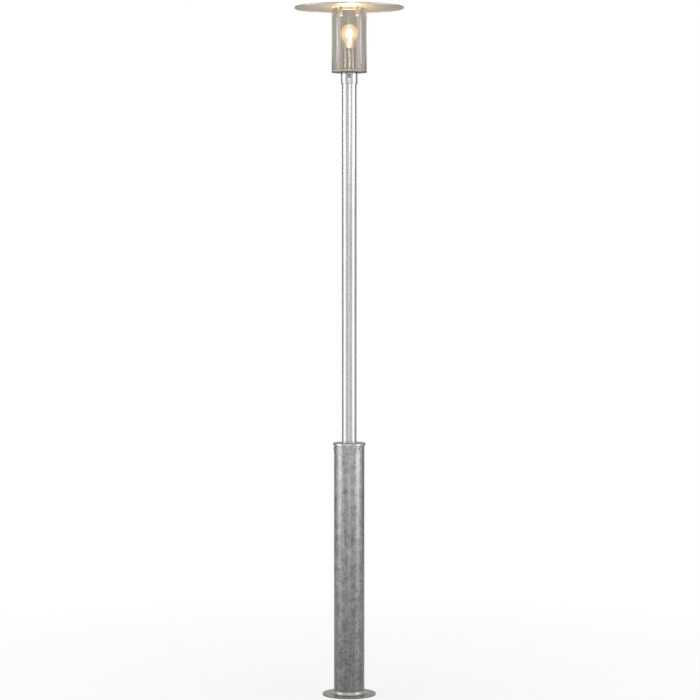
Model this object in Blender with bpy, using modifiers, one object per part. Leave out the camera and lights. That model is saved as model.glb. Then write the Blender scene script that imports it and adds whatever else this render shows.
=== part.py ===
"""Street lamp post: a wide-hatted lantern on a slim pole that stands in a wider service column.

Metres, +Z up. The origin is the centre of the foot flange's underside, and the front faces -Y.
"""
import math

import bmesh
import bpy
from mathutils import Matrix, Vector

# Fits and roundness
SEAT_GAP = 0.0003
RUNNING_GAP = 0.0005
THREAD_CLEARANCE = 0.0003
MERGE_DISTANCE = 0.00001
ROUND_LARGE = 36
ROUND_SMALL = 16
HEX = 6
SHARP_ANGLE = 35.0
CORNER_STEPS = 3
WIRE_ROUNDNESS = 2
ALONG_SHARE = 0.99
SCREW_CROWN_WIDTH = 0.6
SCREW_SIDE_HEIGHT = 0.45

# Foot flange and the grommet in its cable hole
FLANGE_MARGIN = 0.0375
FLANGE_THICKNESS = 0.005
FLANGE_EDGE = 0.0008
ANCHOR_HOLE_DIAMETER = 0.011
ANCHOR_DISTANCE = 0.013
ANCHOR_ANGLES = (-30.0, 90.0, 210.0)
CABLE_HOLE_DIAMETER = 0.026
FLANGE_GROMMET_BORE = 0.016
GROMMET_LIP_WIDTH = 0.003
GROMMET_LIP_HEIGHT = 0.002
FOOT_WELD_WIDTH = 0.006
FOOT_WELD_HEIGHT = 0.010

# Lower column
COLUMN_DIAMETER = 0.100
COLUMN_WALL = 0.003
COLUMN_LENGTH = 0.8150

# Cap on the column, and the screws that hold its spigot
CAP_OVERHANG = 0.00325
CAP_THICKNESS = 0.0085
CAP_EDGE_RADIUS = 0.0036
CAP_EDGE_STEP = 30
CAP_SPIGOT_LENGTH = 0.030
CAP_SPIGOT_WALL = 0.004
CAP_WELD_LEG = 0.004
CAP_SCREW_ANGLES = (-45.0, 75.0, 195.0)
CAP_SCREW_DROP = 0.009
CAP_SCREW_DIAMETER = 0.005
CAP_SCREW_HEAD_DIAMETER = 0.009
CAP_SCREW_HEAD_HEIGHT = 0.0025

# Pole and the ring round its foot
POLE_DIAMETER = 0.0483
POLE_WALL = 0.0026
POLE_LENGTH = 1.3077
POLE_INSERTION = 0.110
FOOT_RING_HEIGHT = 0.010

# Service door in the column's rear
DOOR_WIDTH = 0.064
DOOR_HEIGHT = 0.280
DOOR_BOTTOM = 0.260
DOOR_CORNER = 0.008
DOOR_GAP = 0.0012
SEAL_OVERLAP = 0.004
SEAL_THICKNESS = 0.0017

# Door hinges
HINGE_END_DISTANCE = 0.045
HINGE_SETBACK = 0.0057
KNUCKLE_DIAMETER = 0.008
KNUCKLE_LENGTH = 0.015
HINGE_PIN_DIAMETER = 0.0038
HINGE_PIN_HEAD_DIAMETER = 0.0064
HINGE_PIN_HEAD_HEIGHT = 0.002
STRAP_THICKNESS = 0.003
STRAP_CLEARANCE = 0.0012

# Door lock
LOCK_SETBACK = 0.012
LOCK_FLANGE_DIAMETER = 0.018
LOCK_FLANGE_THICKNESS = 0.0025
LOCK_BODY_DIAMETER = 0.0134
LOCK_SPINDLE_DIAMETER = 0.008
LOCK_KEY_RECESS = 0.0013
LOCK_KEY_DIAMETER = 0.0062
CAM_LENGTH = 0.022
CAM_WIDTH = 0.010
CAM_THICKNESS = 0.002
CAM_CLEARANCE = 0.0008

# Equipment in the column
BOARD_WALL_DISTANCE = 0.010
BOARD_THICKNESS = 0.003
BOARD_BOTTOM = 0.240
BOARD_HEIGHT = 0.300
TERMINAL_SIZE = (0.044, 0.018, 0.034)
TERMINAL_HEIGHT = 0.380
TERMINAL_EDGE = 0.0015
TERMINAL_WAYS = 3
TERMINAL_PITCH = 0.012
TERMINAL_SCREW_HOLE = 0.0055
TERMINAL_SCREW_DEPTH = 0.006
CABLE_PORT_DIAMETER = 0.0084
CABLE_PORT_DEPTH = 0.006
SADDLE_HEIGHT = 0.470
SADDLE_LENGTH = 0.012
SADDLE_WIDTH = 0.030
SADDLE_STRIP = 0.0016
SADDLE_WALL = 0.0014
EARTH_STUD_HEIGHT = 0.290
EARTH_STUD_DIAMETER = 0.006
EARTH_STUD_LENGTH = 0.016
EARTH_STUD_FOOT = 0.0015
EARTH_LUG_DIAMETER = 0.012
EARTH_LUG_THICKNESS = 0.0024
EARTH_NUT_ACROSS_CORNERS = 0.0115
EARTH_NUT_HEIGHT = 0.005
EARTH_LEAD_DIAMETER = 0.0022
EARTH_LEAD_PORT = 0.012
EARTH_LEAD_POINTS = 14
LAMP_CABLE_DIAMETER = 0.007
LAMP_CABLE_SLACK = 0.0004
LAMP_CABLE_POINTS = 75

# Collar on the pole's top, with its clamp bolt
COLLAR_WALL = 0.00295
COLLAR_LENGTH = 0.0365
COLLAR_EDGE = 0.0012
POLE_TO_PLATE = 0.007
CLAMP_BOLT_DROP = 0.013
CLAMP_BOLT_DIAMETER = 0.008
CLAMP_BOLT_ACROSS_CORNERS = 0.0155
CLAMP_BOLT_HEAD_HEIGHT = 0.0053

# Lantern base plate and what stands on it
PLATE_MARGIN = 0.00075
PLATE_THICKNESS = 0.003
PLATE_HOLE_DIAMETER = 0.018
GASKET_THICKNESS = 0.002
GASKET_OVERHANG = 0.0004
GLASS_DIAMETER = 0.114
GLASS_WALL = 0.003
GLASS_LENGTH = 0.2017
DISH_DIAMETER = 0.080
DISH_HEIGHT = 0.009
DISH_SHEET = 0.0015
DISH_SCREW_CIRCLE = 0.070
DISH_SCREW_DIAMETER = 0.004
DISH_SCREW_HEAD_DIAMETER = 0.0075
DISH_SCREW_HEAD_HEIGHT = 0.0028

# Lamp holder
SLEEVE_WALL = 0.001
SLEEVE_LENGTH = 0.067
HOLDER_WALL = 0.0037
HOLDER_SLEEVE_GAP = 0.0006
HOLDER_BASE_HEIGHT = 0.034
HOLDER_CABLE_HOLE_DEPTH = 0.012
SOCKET_DEPTH = 0.029
SHELL_WALL = 0.0007
SHELL_SHORTFALL = 0.001
BULB_THREAD_GAP = 0.0011
CONTACT_DIAMETER = 0.010
CONTACT_THICKNESS = 0.0015

# Bulb
BULB_LENGTH = 0.106
BULB_DIAMETER = 0.058
BULB_GLASS_WALL = 0.001
BULB_CAP_DIAMETER = 0.0262
BULB_CAP_LENGTH = 0.027
BULB_CAP_WALL = 0.0008
BULB_CAP_BASE = 0.0015
BULB_CAP_TAPER = 0.005
BULB_NECK_DEPTH = 0.007
BULB_BULGE_END = -48.0
BULB_BULGE_STEPS = 9
BULB_NECK_POINTS = 6
EYELET_DIAMETER = 0.010
EYELET_STEM_DIAMETER = 0.007
EYELET_STEM_LENGTH = 0.003
STEM_HEIGHT = 0.060
STEM_DIAMETER = 0.0046
STEM_FLARE_HEIGHT = 0.010
STEM_FLARE_GAP = 0.0006
FILAMENT_WIRE_DIAMETER = 0.0011
FILAMENT_STRANDS = 6
FILAMENT_FOOT_DISTANCE = 0.0015
FILAMENT_LOW_RADIUS = 0.0055
FILAMENT_HIGH_RADIUS = 0.0075
FILAMENT_LOW = 0.006
FILAMENT_HIGH = 0.026

# Hat, and the clip plate and boss under it
HAT_DIAMETER = 0.356
HAT_SHEET = 0.0015
HAT_LIP = 0.003
HAT_SCREW_DIAMETER = 0.006
HAT_SCREW_HEAD_DIAMETER = 0.016
HAT_SCREW_HEAD_HEIGHT = 0.0022
TONGUE_ROOT = 0.004
CLIP_SHEET = 0.001
TONGUE_COUNT = 6
TONGUE_WIDTH = 0.008
TONGUE_LENGTH = 0.0285
TONGUE_BEND = 0.002
TONGUE_SPRING = 0.0016
TONGUE_BELLY_HEIGHT = 0.010
BOSS_DIAMETER = 0.0734
BOSS_HEIGHT = 0.0088
BOSS_RECESS_DIAMETER = 0.018
BOSS_RECESS_DEPTH = 0.006
CLIP_NUT_ACROSS_CORNERS = 0.0115
CLIP_NUT_HEIGHT = 0.005

# Colour, roughness and metallic value of each finish
FINISHES = {
    "galvanised": ((0.56, 0.57, 0.56), 0.42, 1.0),
    "bright_zinc": ((0.66, 0.67, 0.68), 0.30, 1.0),
    "stainless": ((0.72, 0.68, 0.64), 0.22, 1.0),
    "brass": ((0.80, 0.60, 0.30), 0.28, 1.0),
    "ceramic": ((0.86, 0.84, 0.80), 0.35, 0.0),
    "smoked_acrylic": ((0.60, 0.57, 0.53), 0.06, 0.0),
    "clear_glass": ((0.95, 0.93, 0.90), 0.03, 0.0),
    "hot_wire": ((1.00, 0.80, 0.45), 0.50, 0.0),
    "black_rubber": ((0.03, 0.03, 0.03), 0.75, 0.0),
    "clear_silicone": ((0.72, 0.70, 0.66), 0.40, 0.0),
    "grey_plastic": ((0.62, 0.63, 0.62), 0.50, 0.0),
    "cable_black": ((0.04, 0.04, 0.045), 0.55, 0.0),
    "earth_green": ((0.25, 0.50, 0.10), 0.50, 0.0),
}

# Radii and heights that follow from the sizes above
column_radius = COLUMN_DIAMETER / 2
column_bore = column_radius - COLUMN_WALL
column_flat_bore = column_bore * math.cos(math.pi / ROUND_LARGE)
pole_radius = POLE_DIAMETER / 2
glass_radius = GLASS_DIAMETER / 2
glass_bore = glass_radius - GLASS_WALL
hat_radius = HAT_DIAMETER / 2
cable_radius = LAMP_CABLE_DIAMETER / 2

column_foot = FLANGE_THICKNESS + SEAT_GAP
column_top = column_foot + COLUMN_LENGTH
cap_underside = column_top + SEAT_GAP
cap_top = cap_underside + CAP_THICKNESS
pole_foot = cap_top - POLE_INSERTION
pole_top = pole_foot + POLE_LENGTH
plate_underside = pole_top + POLE_TO_PLATE
plate_top = plate_underside + PLATE_THICKNESS
glass_foot = plate_top + GASKET_THICKNESS + 2 * SEAT_GAP
glass_top = glass_foot + GLASS_LENGTH
hat_seat = glass_top + GASKET_THICKNESS + 2 * SEAT_GAP
dish_foot = plate_top + SEAT_GAP
dish_top = dish_foot + DISH_HEIGHT
holder_foot = dish_top + SEAT_GAP
socket_floor = holder_foot + HOLDER_BASE_HEIGHT
socket_top = socket_floor + SOCKET_DEPTH
contact_top = socket_floor + SEAT_GAP + CONTACT_THICKNESS
bulb_foot = contact_top + SEAT_GAP
bulb_cap_top = bulb_foot + BULB_CAP_LENGTH
door_top = DOOR_BOTTOM + DOOR_HEIGHT
door_middle = DOOR_BOTTOM + DOOR_HEIGHT / 2


def new_collection(name):
    """Collection of that name in the scene, in place of an older one."""
    for old in [c for c in bpy.data.collections if c.name == name]:
        bpy.data.collections.remove(old)
    collection = bpy.data.collections.new(name)
    bpy.context.scene.collection.children.link(collection)
    return collection


for old_object in list(bpy.data.objects):
    bpy.data.objects.remove(old_object, do_unlink=True)
PARTS = new_collection("street_lamp_post")
CUTTERS = new_collection("cutters")


def finish_material(name, finish):
    """Principled material of one piece, from the table of finishes."""
    color, roughness, metallic = FINISHES[finish]
    material = bpy.data.materials.new(name)
    material.use_nodes = True
    shader = material.node_tree.nodes["Principled BSDF"]
    shader.inputs["Base Color"].default_value = (*color, 1.0)
    shader.inputs["Roughness"].default_value = roughness
    shader.inputs["Metallic"].default_value = metallic
    return material


def add_object(name, data, finish):
    """Part with its own material, or a hidden cutter where no finish is given."""
    piece = bpy.data.objects.new(name, data)
    if finish:
        data.materials.append(finish_material(name, finish))
        PARTS.objects.link(piece)
    else:
        CUTTERS.objects.link(piece)
        piece.hide_render = True
        piece.display_type = 'WIRE'
    return piece


def add_solid(name, bm, finish):
    """Object from a bmesh, shaded smooth but for its sharp edges."""
    mesh = bpy.data.meshes.new(name)
    bm.to_mesh(mesh)
    bm.free()
    mesh.shade_smooth()
    mesh.set_sharp_from_angle(angle=math.radians(SHARP_ANGLE))
    return add_object(name, mesh, finish)


def turned(name, profile, finish=None, steps=ROUND_LARGE):
    """Solid turned about its Z axis from (radius, height) points that run down its outer side."""
    last = len(profile) - 1
    edges = [(i, i + 1) for i in range(last)]
    if profile[0][0] > 0:
        edges.append((last, 0))
    mesh = bpy.data.meshes.new(name)
    mesh.from_pydata([(radius, 0.0, height) for radius, height in profile], edges, [])
    solid = add_object(name, mesh, finish)
    screw = solid.modifiers.new("turn", 'SCREW')
    screw.axis = 'Z'
    screw.steps = steps
    screw.render_steps = steps
    screw.use_merge_vertices = True
    screw.merge_threshold = MERGE_DISTANCE
    return solid


def ring(inner, outer, low, high):
    """Profile of a plain ring."""
    return [(inner, high), (outer, high), (outer, low), (inner, low)]


def prism(name, radius, low, high, finish=None, sides=ROUND_SMALL):
    """Upright solid cylinder, or a prism where the sides are few."""
    bm = bmesh.new()
    middle = Matrix.Translation((0.0, 0.0, (low + high) / 2))
    bmesh.ops.create_cone(bm, cap_ends=True, segments=sides, radius1=radius, radius2=radius,
                          depth=high - low, matrix=middle)
    return add_solid(name, bm, finish)


def block(name, low, high, finish=None, corner=0.0, corner_axis=None):
    """Box between two corners, with the edges along one axis, or all edges, rounded."""
    low = Vector(low)
    high = Vector(high)
    bm = bmesh.new()
    size = Matrix.Diagonal(high - low).to_4x4()
    bmesh.ops.create_cube(bm, size=1.0, matrix=Matrix.Translation((low + high) / 2) @ size)
    if corner > 0:
        rounded = list(bm.edges)
        if corner_axis is not None:
            rounded = [e for e in bm.edges if is_along(e, corner_axis)]
        bmesh.ops.bevel(bm, geom=rounded, offset=corner, segments=CORNER_STEPS, profile=0.5,
                         affect='EDGES')
    return add_solid(name, bm, finish)


def is_along(edge, axis):
    """True where an edge runs along a coordinate axis."""
    run = edge.verts[1].co - edge.verts[0].co
    return abs(run[axis]) > ALONG_SHARE * run.length


def boolean(solid, tool, operation):
    """Exact Boolean with another solid, kept as a modifier."""
    modifier = solid.modifiers.new(tool.name, 'BOOLEAN')
    modifier.operation = operation
    modifier.solver = 'EXACT'
    modifier.object = tool


def tube_along(name, points, diameter, finish):
    """Round wire or cable along a chain of points."""
    curve = bpy.data.curves.new(name, 'CURVE')
    curve.dimensions = '3D'
    curve.bevel_depth = diameter / 2
    curve.bevel_resolution = WIRE_ROUNDNESS
    curve.use_fill_caps = True
    spline = curve.splines.new('POLY')
    spline.points.add(len(points) - 1)
    for point, place in zip(spline.points, points):
        point.co = (*place, 1.0)
    return add_object(name, curve, finish)


def outward(angle, radius, height):
    """Place on the post's side at a plan angle from +X: local Z points out, and local X points up."""
    turn = math.radians(angle)
    normal = Vector((math.cos(turn), math.sin(turn), 0.0))
    up = Vector((0.0, 0.0, 1.0))
    frame = Matrix((up, normal.cross(up), normal)).transposed().to_4x4()
    return Matrix.Translation(normal * radius + up * height) @ frame


def pivot(name, place, pieces):
    """Empty on a joint's axis that carries the pieces that move there."""
    axis = bpy.data.objects.new(name, None)
    PARTS.objects.link(axis)
    axis.matrix_world = place
    bpy.context.view_layer.update()
    for piece in pieces:
        piece.parent = axis
        piece.matrix_parent_inverse = axis.matrix_world.inverted()


def pan_screw(name, head_diameter, head_height, shank_diameter, shank_length, finish):
    """Screw along local Z with its head's underside at zero and its shank below."""
    head = head_diameter / 2
    shank = shank_diameter / 2
    profile = [(0.0, head_height), (SCREW_CROWN_WIDTH * head, head_height),
               (head, SCREW_SIDE_HEIGHT * head_height), (head, 0.0), (shank, 0.0),
               (shank, -shank_length), (0.0, -shank_length)]
    return turned(name, profile, finish, ROUND_SMALL)


def hex_nut(name, across_corners, height, bore, finish, place):
    """Hexagon nut along its place's local Z with its underside at zero."""
    nut = prism(name, across_corners / 2, 0.0, height, finish, HEX)
    hole = prism(name + "_bore", bore, -height, 2 * height)
    nut.matrix_world = place
    hole.matrix_world = place
    boolean(nut, hole, 'DIFFERENCE')
    return nut


def top_hat_grommet(name, hole_diameter, bore, sheet_low, sheet_high):
    """Rubber bush in a sheet's hole, with a lip on the upper face."""
    body = hole_diameter / 2 - SEAT_GAP
    lip = hole_diameter / 2 + GROMMET_LIP_WIDTH
    seat = sheet_high + SEAT_GAP
    top = seat + GROMMET_LIP_HEIGHT
    low = sheet_low + SEAT_GAP
    profile = [(bore / 2, top), (lip, top), (lip, seat), (body, seat), (body, low), (bore / 2, low)]
    return turned(name, profile, "black_rubber", ROUND_SMALL)


def make_flange():
    """Round foot plate with the weld round the column's foot, the anchor holes and the cable hole."""
    edge = column_radius + FLANGE_MARGIN
    weld = column_radius + SEAT_GAP
    profile = [(CABLE_HOLE_DIAMETER / 2, FLANGE_THICKNESS), (weld, FLANGE_THICKNESS),
               (weld, FLANGE_THICKNESS + FOOT_WELD_HEIGHT), (weld + FOOT_WELD_WIDTH, FLANGE_THICKNESS),
               (edge - FLANGE_EDGE, FLANGE_THICKNESS), (edge, FLANGE_THICKNESS - FLANGE_EDGE),
               (edge, 0.0), (CABLE_HOLE_DIAMETER / 2, 0.0)]
    flange = turned("base_flange", profile, "galvanised")
    for angle in ANCHOR_ANGLES:
        hole = prism(f"anchor_hole_{angle:.0f}", ANCHOR_HOLE_DIAMETER / 2, -FLANGE_THICKNESS,
                     2 * FLANGE_THICKNESS)
        turn = math.radians(angle)
        hole.location = Vector((math.cos(turn), math.sin(turn), 0.0)) * (column_radius + ANCHOR_DISTANCE)
        boolean(flange, hole, 'DIFFERENCE')
    top_hat_grommet("cable_grommet", CABLE_HOLE_DIAMETER, FLANGE_GROMMET_BORE, 0.0, FLANGE_THICKNESS)


def door_slab(name, margin, near, far):
    """Round-cornered slab through the rear wall, larger than the doorway by a margin."""
    half = DOOR_WIDTH / 2 + margin
    return block(name, (-half, near, DOOR_BOTTOM - margin), (half, far, door_top + margin),
                 corner=DOOR_CORNER + margin, corner_axis=1)


def cap_screw_place(angle):
    """Place of a cap screw's head seat on the column."""
    return outward(angle, column_radius + SEAT_GAP, column_top - CAP_SCREW_DROP)


def make_column():
    """Wide lower tube with its rear doorway and the holes for the cap's screws."""
    column = turned("column_tube", ring(column_bore, column_radius, column_foot, column_top), "galvanised")
    boolean(column, door_slab("doorway", 0.0, 0.0, COLUMN_DIAMETER), 'DIFFERENCE')
    hole_radius = CAP_SCREW_DIAMETER / 2 + THREAD_CLEARANCE
    reach = COLUMN_WALL + CAP_SPIGOT_WALL
    for angle in CAP_SCREW_ANGLES:
        hole = prism(f"cap_screw_hole_{angle:.0f}", hole_radius, -2 * reach, reach)
        hole.matrix_world = cap_screw_place(angle)
        boolean(column, hole, 'DIFFERENCE')


def make_cap():
    """Rimmed cap with a spigot in the column, a weld round the pole, and its three screws."""
    bore = pole_radius + SEAT_GAP
    rim = column_radius + CAP_OVERHANG
    spigot = column_bore - SEAT_GAP
    spigot_foot = cap_underside - CAP_SPIGOT_LENGTH
    profile = [(bore, cap_top + CAP_WELD_LEG), (bore + CAP_WELD_LEG, cap_top)]
    for turn in range(0, 181, CAP_EDGE_STEP):
        angle = math.radians(90 - turn)
        middle = cap_top - CAP_EDGE_RADIUS if turn <= 90 else cap_underside + CAP_EDGE_RADIUS
        across = rim - CAP_EDGE_RADIUS * (1 - math.cos(angle))
        profile.append((across, middle + CAP_EDGE_RADIUS * math.sin(angle)))
    profile += [(spigot, cap_underside), (spigot, spigot_foot), (spigot - CAP_SPIGOT_WALL, spigot_foot),
                (spigot - CAP_SPIGOT_WALL, cap_underside), (bore, cap_underside)]
    cap = turned("column_cap", profile, "galvanised")
    for number, angle in enumerate(CAP_SCREW_ANGLES, start=1):
        boolean(cap, bpy.data.objects[f"cap_screw_hole_{angle:.0f}"], 'DIFFERENCE')
        screw = pan_screw(f"cap_screw_{number}", CAP_SCREW_HEAD_DIAMETER, CAP_SCREW_HEAD_HEIGHT,
                          CAP_SCREW_DIAMETER, COLUMN_WALL + CAP_SPIGOT_WALL, "bright_zinc")
        screw.matrix_world = cap_screw_place(angle)


def make_pole():
    """Slim upper tube, and the ring that centres its foot in the column."""
    turned("pole_tube", ring(pole_radius - POLE_WALL, pole_radius, pole_foot, pole_top), "galvanised")
    foot = ring(pole_radius + SEAT_GAP, column_bore - SEAT_GAP, pole_foot, pole_foot + FOOT_RING_HEIGHT)
    turned("pole_foot_ring", foot, "galvanised")


hinge_x = -(DOOR_WIDTH / 2 + HINGE_SETBACK)
hinge_distance = column_radius + KNUCKLE_DIAMETER / 2 + SEAT_GAP
hinge_y = math.sqrt(hinge_distance ** 2 - hinge_x ** 2)
hinge_heights = {"lower": DOOR_BOTTOM + HINGE_END_DISTANCE, "upper": door_top - HINGE_END_DISTANCE}


def make_door():
    """Curved flush door with its hinge straps and knuckles, the fixed knuckles, the pins and the seal."""
    door = turned("door_panel", ring(column_bore, column_radius, column_foot, column_top), "galvanised")
    boolean(door, door_slab("door_outline", -DOOR_GAP, 0.0, COLUMN_DIAMETER), 'INTERSECT')
    strap_low = math.sqrt(column_radius ** 2 - (DOOR_WIDTH / 2) ** 2) + STRAP_CLEARANCE
    strap_end = -math.sqrt(column_bore ** 2 - strap_low ** 2) - RUNNING_GAP
    bore = HINGE_PIN_DIAMETER / 2 + SEAT_GAP
    knuckle = KNUCKLE_DIAMETER / 2
    for where, height in hinge_heights.items():
        top = height + KNUCKLE_LENGTH
        strap = block(f"hinge_strap_{where}", (hinge_x, strap_low, height),
                      (strap_end, strap_low + STRAP_THICKNESS, top))
        boolean(door, strap, 'UNION')
        eye = prism(f"hinge_eye_{where}", knuckle, height, top)
        hole = prism(f"hinge_bore_{where}", bore, height - KNUCKLE_LENGTH, top + KNUCKLE_LENGTH)
        low = height - RUNNING_GAP - KNUCKLE_LENGTH
        fixed = turned(f"hinge_knuckle_{where}", ring(bore, knuckle, low, height - RUNNING_GAP),
                       "galvanised", ROUND_SMALL)
        pin_length = KNUCKLE_LENGTH * 2 + RUNNING_GAP
        pin = pan_screw(f"hinge_pin_{where}", HINGE_PIN_HEAD_DIAMETER, HINGE_PIN_HEAD_HEIGHT,
                        HINGE_PIN_DIAMETER, pin_length, "stainless")
        pin.location = (hinge_x, hinge_y, top + RUNNING_GAP)
        for piece in (eye, hole, fixed):
            piece.location = (hinge_x, hinge_y, 0.0)
        boolean(door, eye, 'UNION')
        boolean(door, hole, 'DIFFERENCE')
    seal_outer = column_bore - SEAT_GAP
    seal = turned("door_seal", ring(seal_outer - SEAL_THICKNESS, seal_outer, column_foot, column_top),
                  "black_rubber")
    boolean(seal, door_slab("seal_outline", SEAL_OVERLAP, 0.0, COLUMN_DIAMETER), 'INTERSECT')
    boolean(seal, door_slab("seal_window", -SEAL_OVERLAP, 0.0, COLUMN_DIAMETER), 'DIFFERENCE')
    return door


def make_lock(door):
    """Key-turned lock in the door: a round housing, and a spindle whose cam hangs clear at rest."""
    across = DOOR_WIDTH / 2 - LOCK_SETBACK
    angle = 90.0 - math.degrees(math.asin(across / column_radius))
    place = outward(angle, column_radius, door_middle)
    seal_bore = column_bore - SEAT_GAP - SEAL_THICKNESS
    cam_face = math.sqrt((seal_bore - CAM_CLEARANCE) ** 2 - CAM_LENGTH ** 2) - column_radius
    cam_back = cam_face - CAM_THICKNESS
    body = LOCK_BODY_DIAMETER / 2
    bore = LOCK_SPINDLE_DIAMETER / 2 + SEAT_GAP
    face = SEAT_GAP + LOCK_FLANGE_THICKNESS
    foot = cam_face + RUNNING_GAP
    flange = LOCK_FLANGE_DIAMETER / 2
    profile = [(bore, face), (flange, face), (flange, SEAT_GAP), (body, SEAT_GAP), (body, foot), (bore, foot)]
    housing = turned("lock_housing", profile, "stainless", ROUND_SMALL)
    hole = prism("lock_hole", body + SEAT_GAP, foot, face)
    shaft_top = face - 2 * LOCK_KEY_RECESS
    spindle = prism("lock_spindle", LOCK_SPINDLE_DIAMETER / 2, cam_back, shaft_top, "stainless")
    half = CAM_WIDTH / 2
    cam = block("lock_cam", (-CAM_LENGTH, -half, cam_back), (half, half, cam_face))
    key = prism("lock_key", LOCK_KEY_DIAMETER / 2, cam_face, face - LOCK_KEY_RECESS, sides=3)
    for piece in (housing, hole, spindle, cam, key):
        piece.matrix_world = place
    boolean(door, hole, 'DIFFERENCE')
    boolean(spindle, cam, 'UNION')
    boolean(spindle, key, 'UNION')
    pivot("lock_axis", place, [spindle])
    pivot("door_axis", Matrix.Translation((hinge_x, hinge_y, door_middle)), [door, housing])


board_back = BOARD_WALL_DISTANCE - column_bore
board_front = board_back + BOARD_THICKNESS
board_seat = board_front + SEAT_GAP
cable_offset = board_seat + cable_radius + LAMP_CABLE_SLACK + SADDLE_WALL
terminal_top = TERMINAL_HEIGHT + TERMINAL_SIZE[2] / 2
terminal_foot = TERMINAL_HEIGHT - TERMINAL_SIZE[2] / 2


def make_terminals():
    """Terminal block on the board, with its clamping screw holes and cable port."""
    width, depth, height = TERMINAL_SIZE
    terminal = block("terminal_block", (-width / 2, board_seat, terminal_foot),
                     (width / 2, board_seat + depth, terminal_top), "grey_plastic", TERMINAL_EDGE)
    for way in range(TERMINAL_WAYS):
        across = (way - (TERMINAL_WAYS - 1) / 2) * TERMINAL_PITCH
        hole = prism(f"terminal_screw_hole_{way}", TERMINAL_SCREW_HOLE / 2, -TERMINAL_SCREW_DEPTH,
                     TERMINAL_SCREW_DEPTH)
        hole.matrix_world = outward(90.0, board_seat + depth, TERMINAL_HEIGHT)
        hole.location.x = across
        boolean(terminal, hole, 'DIFFERENCE')
    port = prism("cable_port", CABLE_PORT_DIAMETER / 2, terminal_top - CABLE_PORT_DEPTH,
                 terminal_top + CABLE_PORT_DEPTH)
    port.location = (0.0, cable_offset, 0.0)
    boolean(terminal, port, 'DIFFERENCE')


def make_board():
    """Board across the column's front, with the cable saddle and the earth connection."""
    half = math.sqrt((column_flat_bore - SEAT_GAP) ** 2 - board_back ** 2)
    block("equipment_board", (-half, board_back, BOARD_BOTTOM),
          (half, board_front, BOARD_BOTTOM + BOARD_HEIGHT), "galvanised")
    bore = cable_radius + LAMP_CABLE_SLACK
    low = SADDLE_HEIGHT - SADDLE_LENGTH / 2
    high = SADDLE_HEIGHT + SADDLE_LENGTH / 2
    saddle = block("cable_saddle", (-SADDLE_WIDTH / 2, board_seat, low),
                   (SADDLE_WIDTH / 2, board_seat + SADDLE_STRIP, high), "grey_plastic")
    arch = prism("saddle_arch", bore + SADDLE_WALL, low, high)
    way = prism("saddle_way", bore, low - SADDLE_LENGTH, high + SADDLE_LENGTH)
    for piece in (arch, way):
        piece.location = (0.0, cable_offset, 0.0)
    boolean(saddle, arch, 'UNION')
    boolean(saddle, way, 'DIFFERENCE')
    make_earth_connection()


def make_earth_connection():
    """Stud on the board with its lug, nut and lead to the terminal block."""
    stud = EARTH_STUD_DIAMETER / 2
    lug = EARTH_LUG_DIAMETER / 2
    lug_low = EARTH_STUD_FOOT + SEAT_GAP
    lug_high = lug_low + EARTH_LUG_THICKNESS
    place = outward(90.0, board_seat, EARTH_STUD_HEIGHT)
    profile = [(0.0, EARTH_STUD_LENGTH), (stud, EARTH_STUD_LENGTH), (stud, EARTH_STUD_FOOT),
               (lug, EARTH_STUD_FOOT), (lug, 0.0), (0.0, 0.0)]
    bore = stud + THREAD_CLEARANCE
    pieces = [turned("earth_stud", profile, "bright_zinc", ROUND_SMALL),
              turned("earth_lug", ring(bore, lug, lug_low, lug_high), "brass", ROUND_SMALL)]
    for piece in pieces:
        piece.matrix_world = place
    hex_nut("earth_nut", EARTH_NUT_ACROSS_CORNERS, EARTH_NUT_HEIGHT, bore, "bright_zinc",
            outward(90.0, board_seat + lug_high + SEAT_GAP, EARTH_STUD_HEIGHT))
    along = board_seat + (lug_low + lug_high) / 2
    start = Vector((0.0, along, EARTH_STUD_HEIGHT + lug + SEAT_GAP))
    end = Vector((EARTH_LEAD_PORT, board_seat + TERMINAL_SIZE[1] / 2, terminal_foot - SEAT_GAP))
    rise = (end.z - start.z) / 2
    handles = [start, start + Vector((0.0, 0.0, rise)), end - Vector((0.0, 0.0, rise)), end]
    tube_along("earth_lead", bezier(handles, EARTH_LEAD_POINTS), EARTH_LEAD_DIAMETER, "earth_green")


def bezier(handles, count):
    """Evenly stepped points of the cubic curve with four handles."""
    points = []
    for step in range(count):
        t = step / (count - 1)
        weights = ((1 - t) ** 3, 3 * t * (1 - t) ** 2, 3 * t ** 2 * (1 - t), t ** 3)
        points.append(sum((handle * weight for handle, weight in zip(handles, weights)), handles[0] * 0.0))
    return points


def make_lamp_cable():
    """Cable from the terminal block, through the saddle and up the pole to the lamp holder."""
    low = terminal_top - CABLE_PORT_DEPTH + SEAT_GAP
    high = holder_foot + HOLDER_CABLE_HOLE_DEPTH - SEAT_GAP
    bend_low = SADDLE_HEIGHT + SADDLE_LENGTH
    bend_high = pole_foot
    points = []
    for step in range(LAMP_CABLE_POINTS):
        z = low + (high - low) * step / (LAMP_CABLE_POINTS - 1)
        t = min(max((z - bend_low) / (bend_high - bend_low), 0.0), 1.0)
        points.append((0.0, cable_offset * (1 - t * t * (3 - 2 * t)), z))
    tube_along("lamp_cable", points, LAMP_CABLE_DIAMETER, "cable_black")


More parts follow.
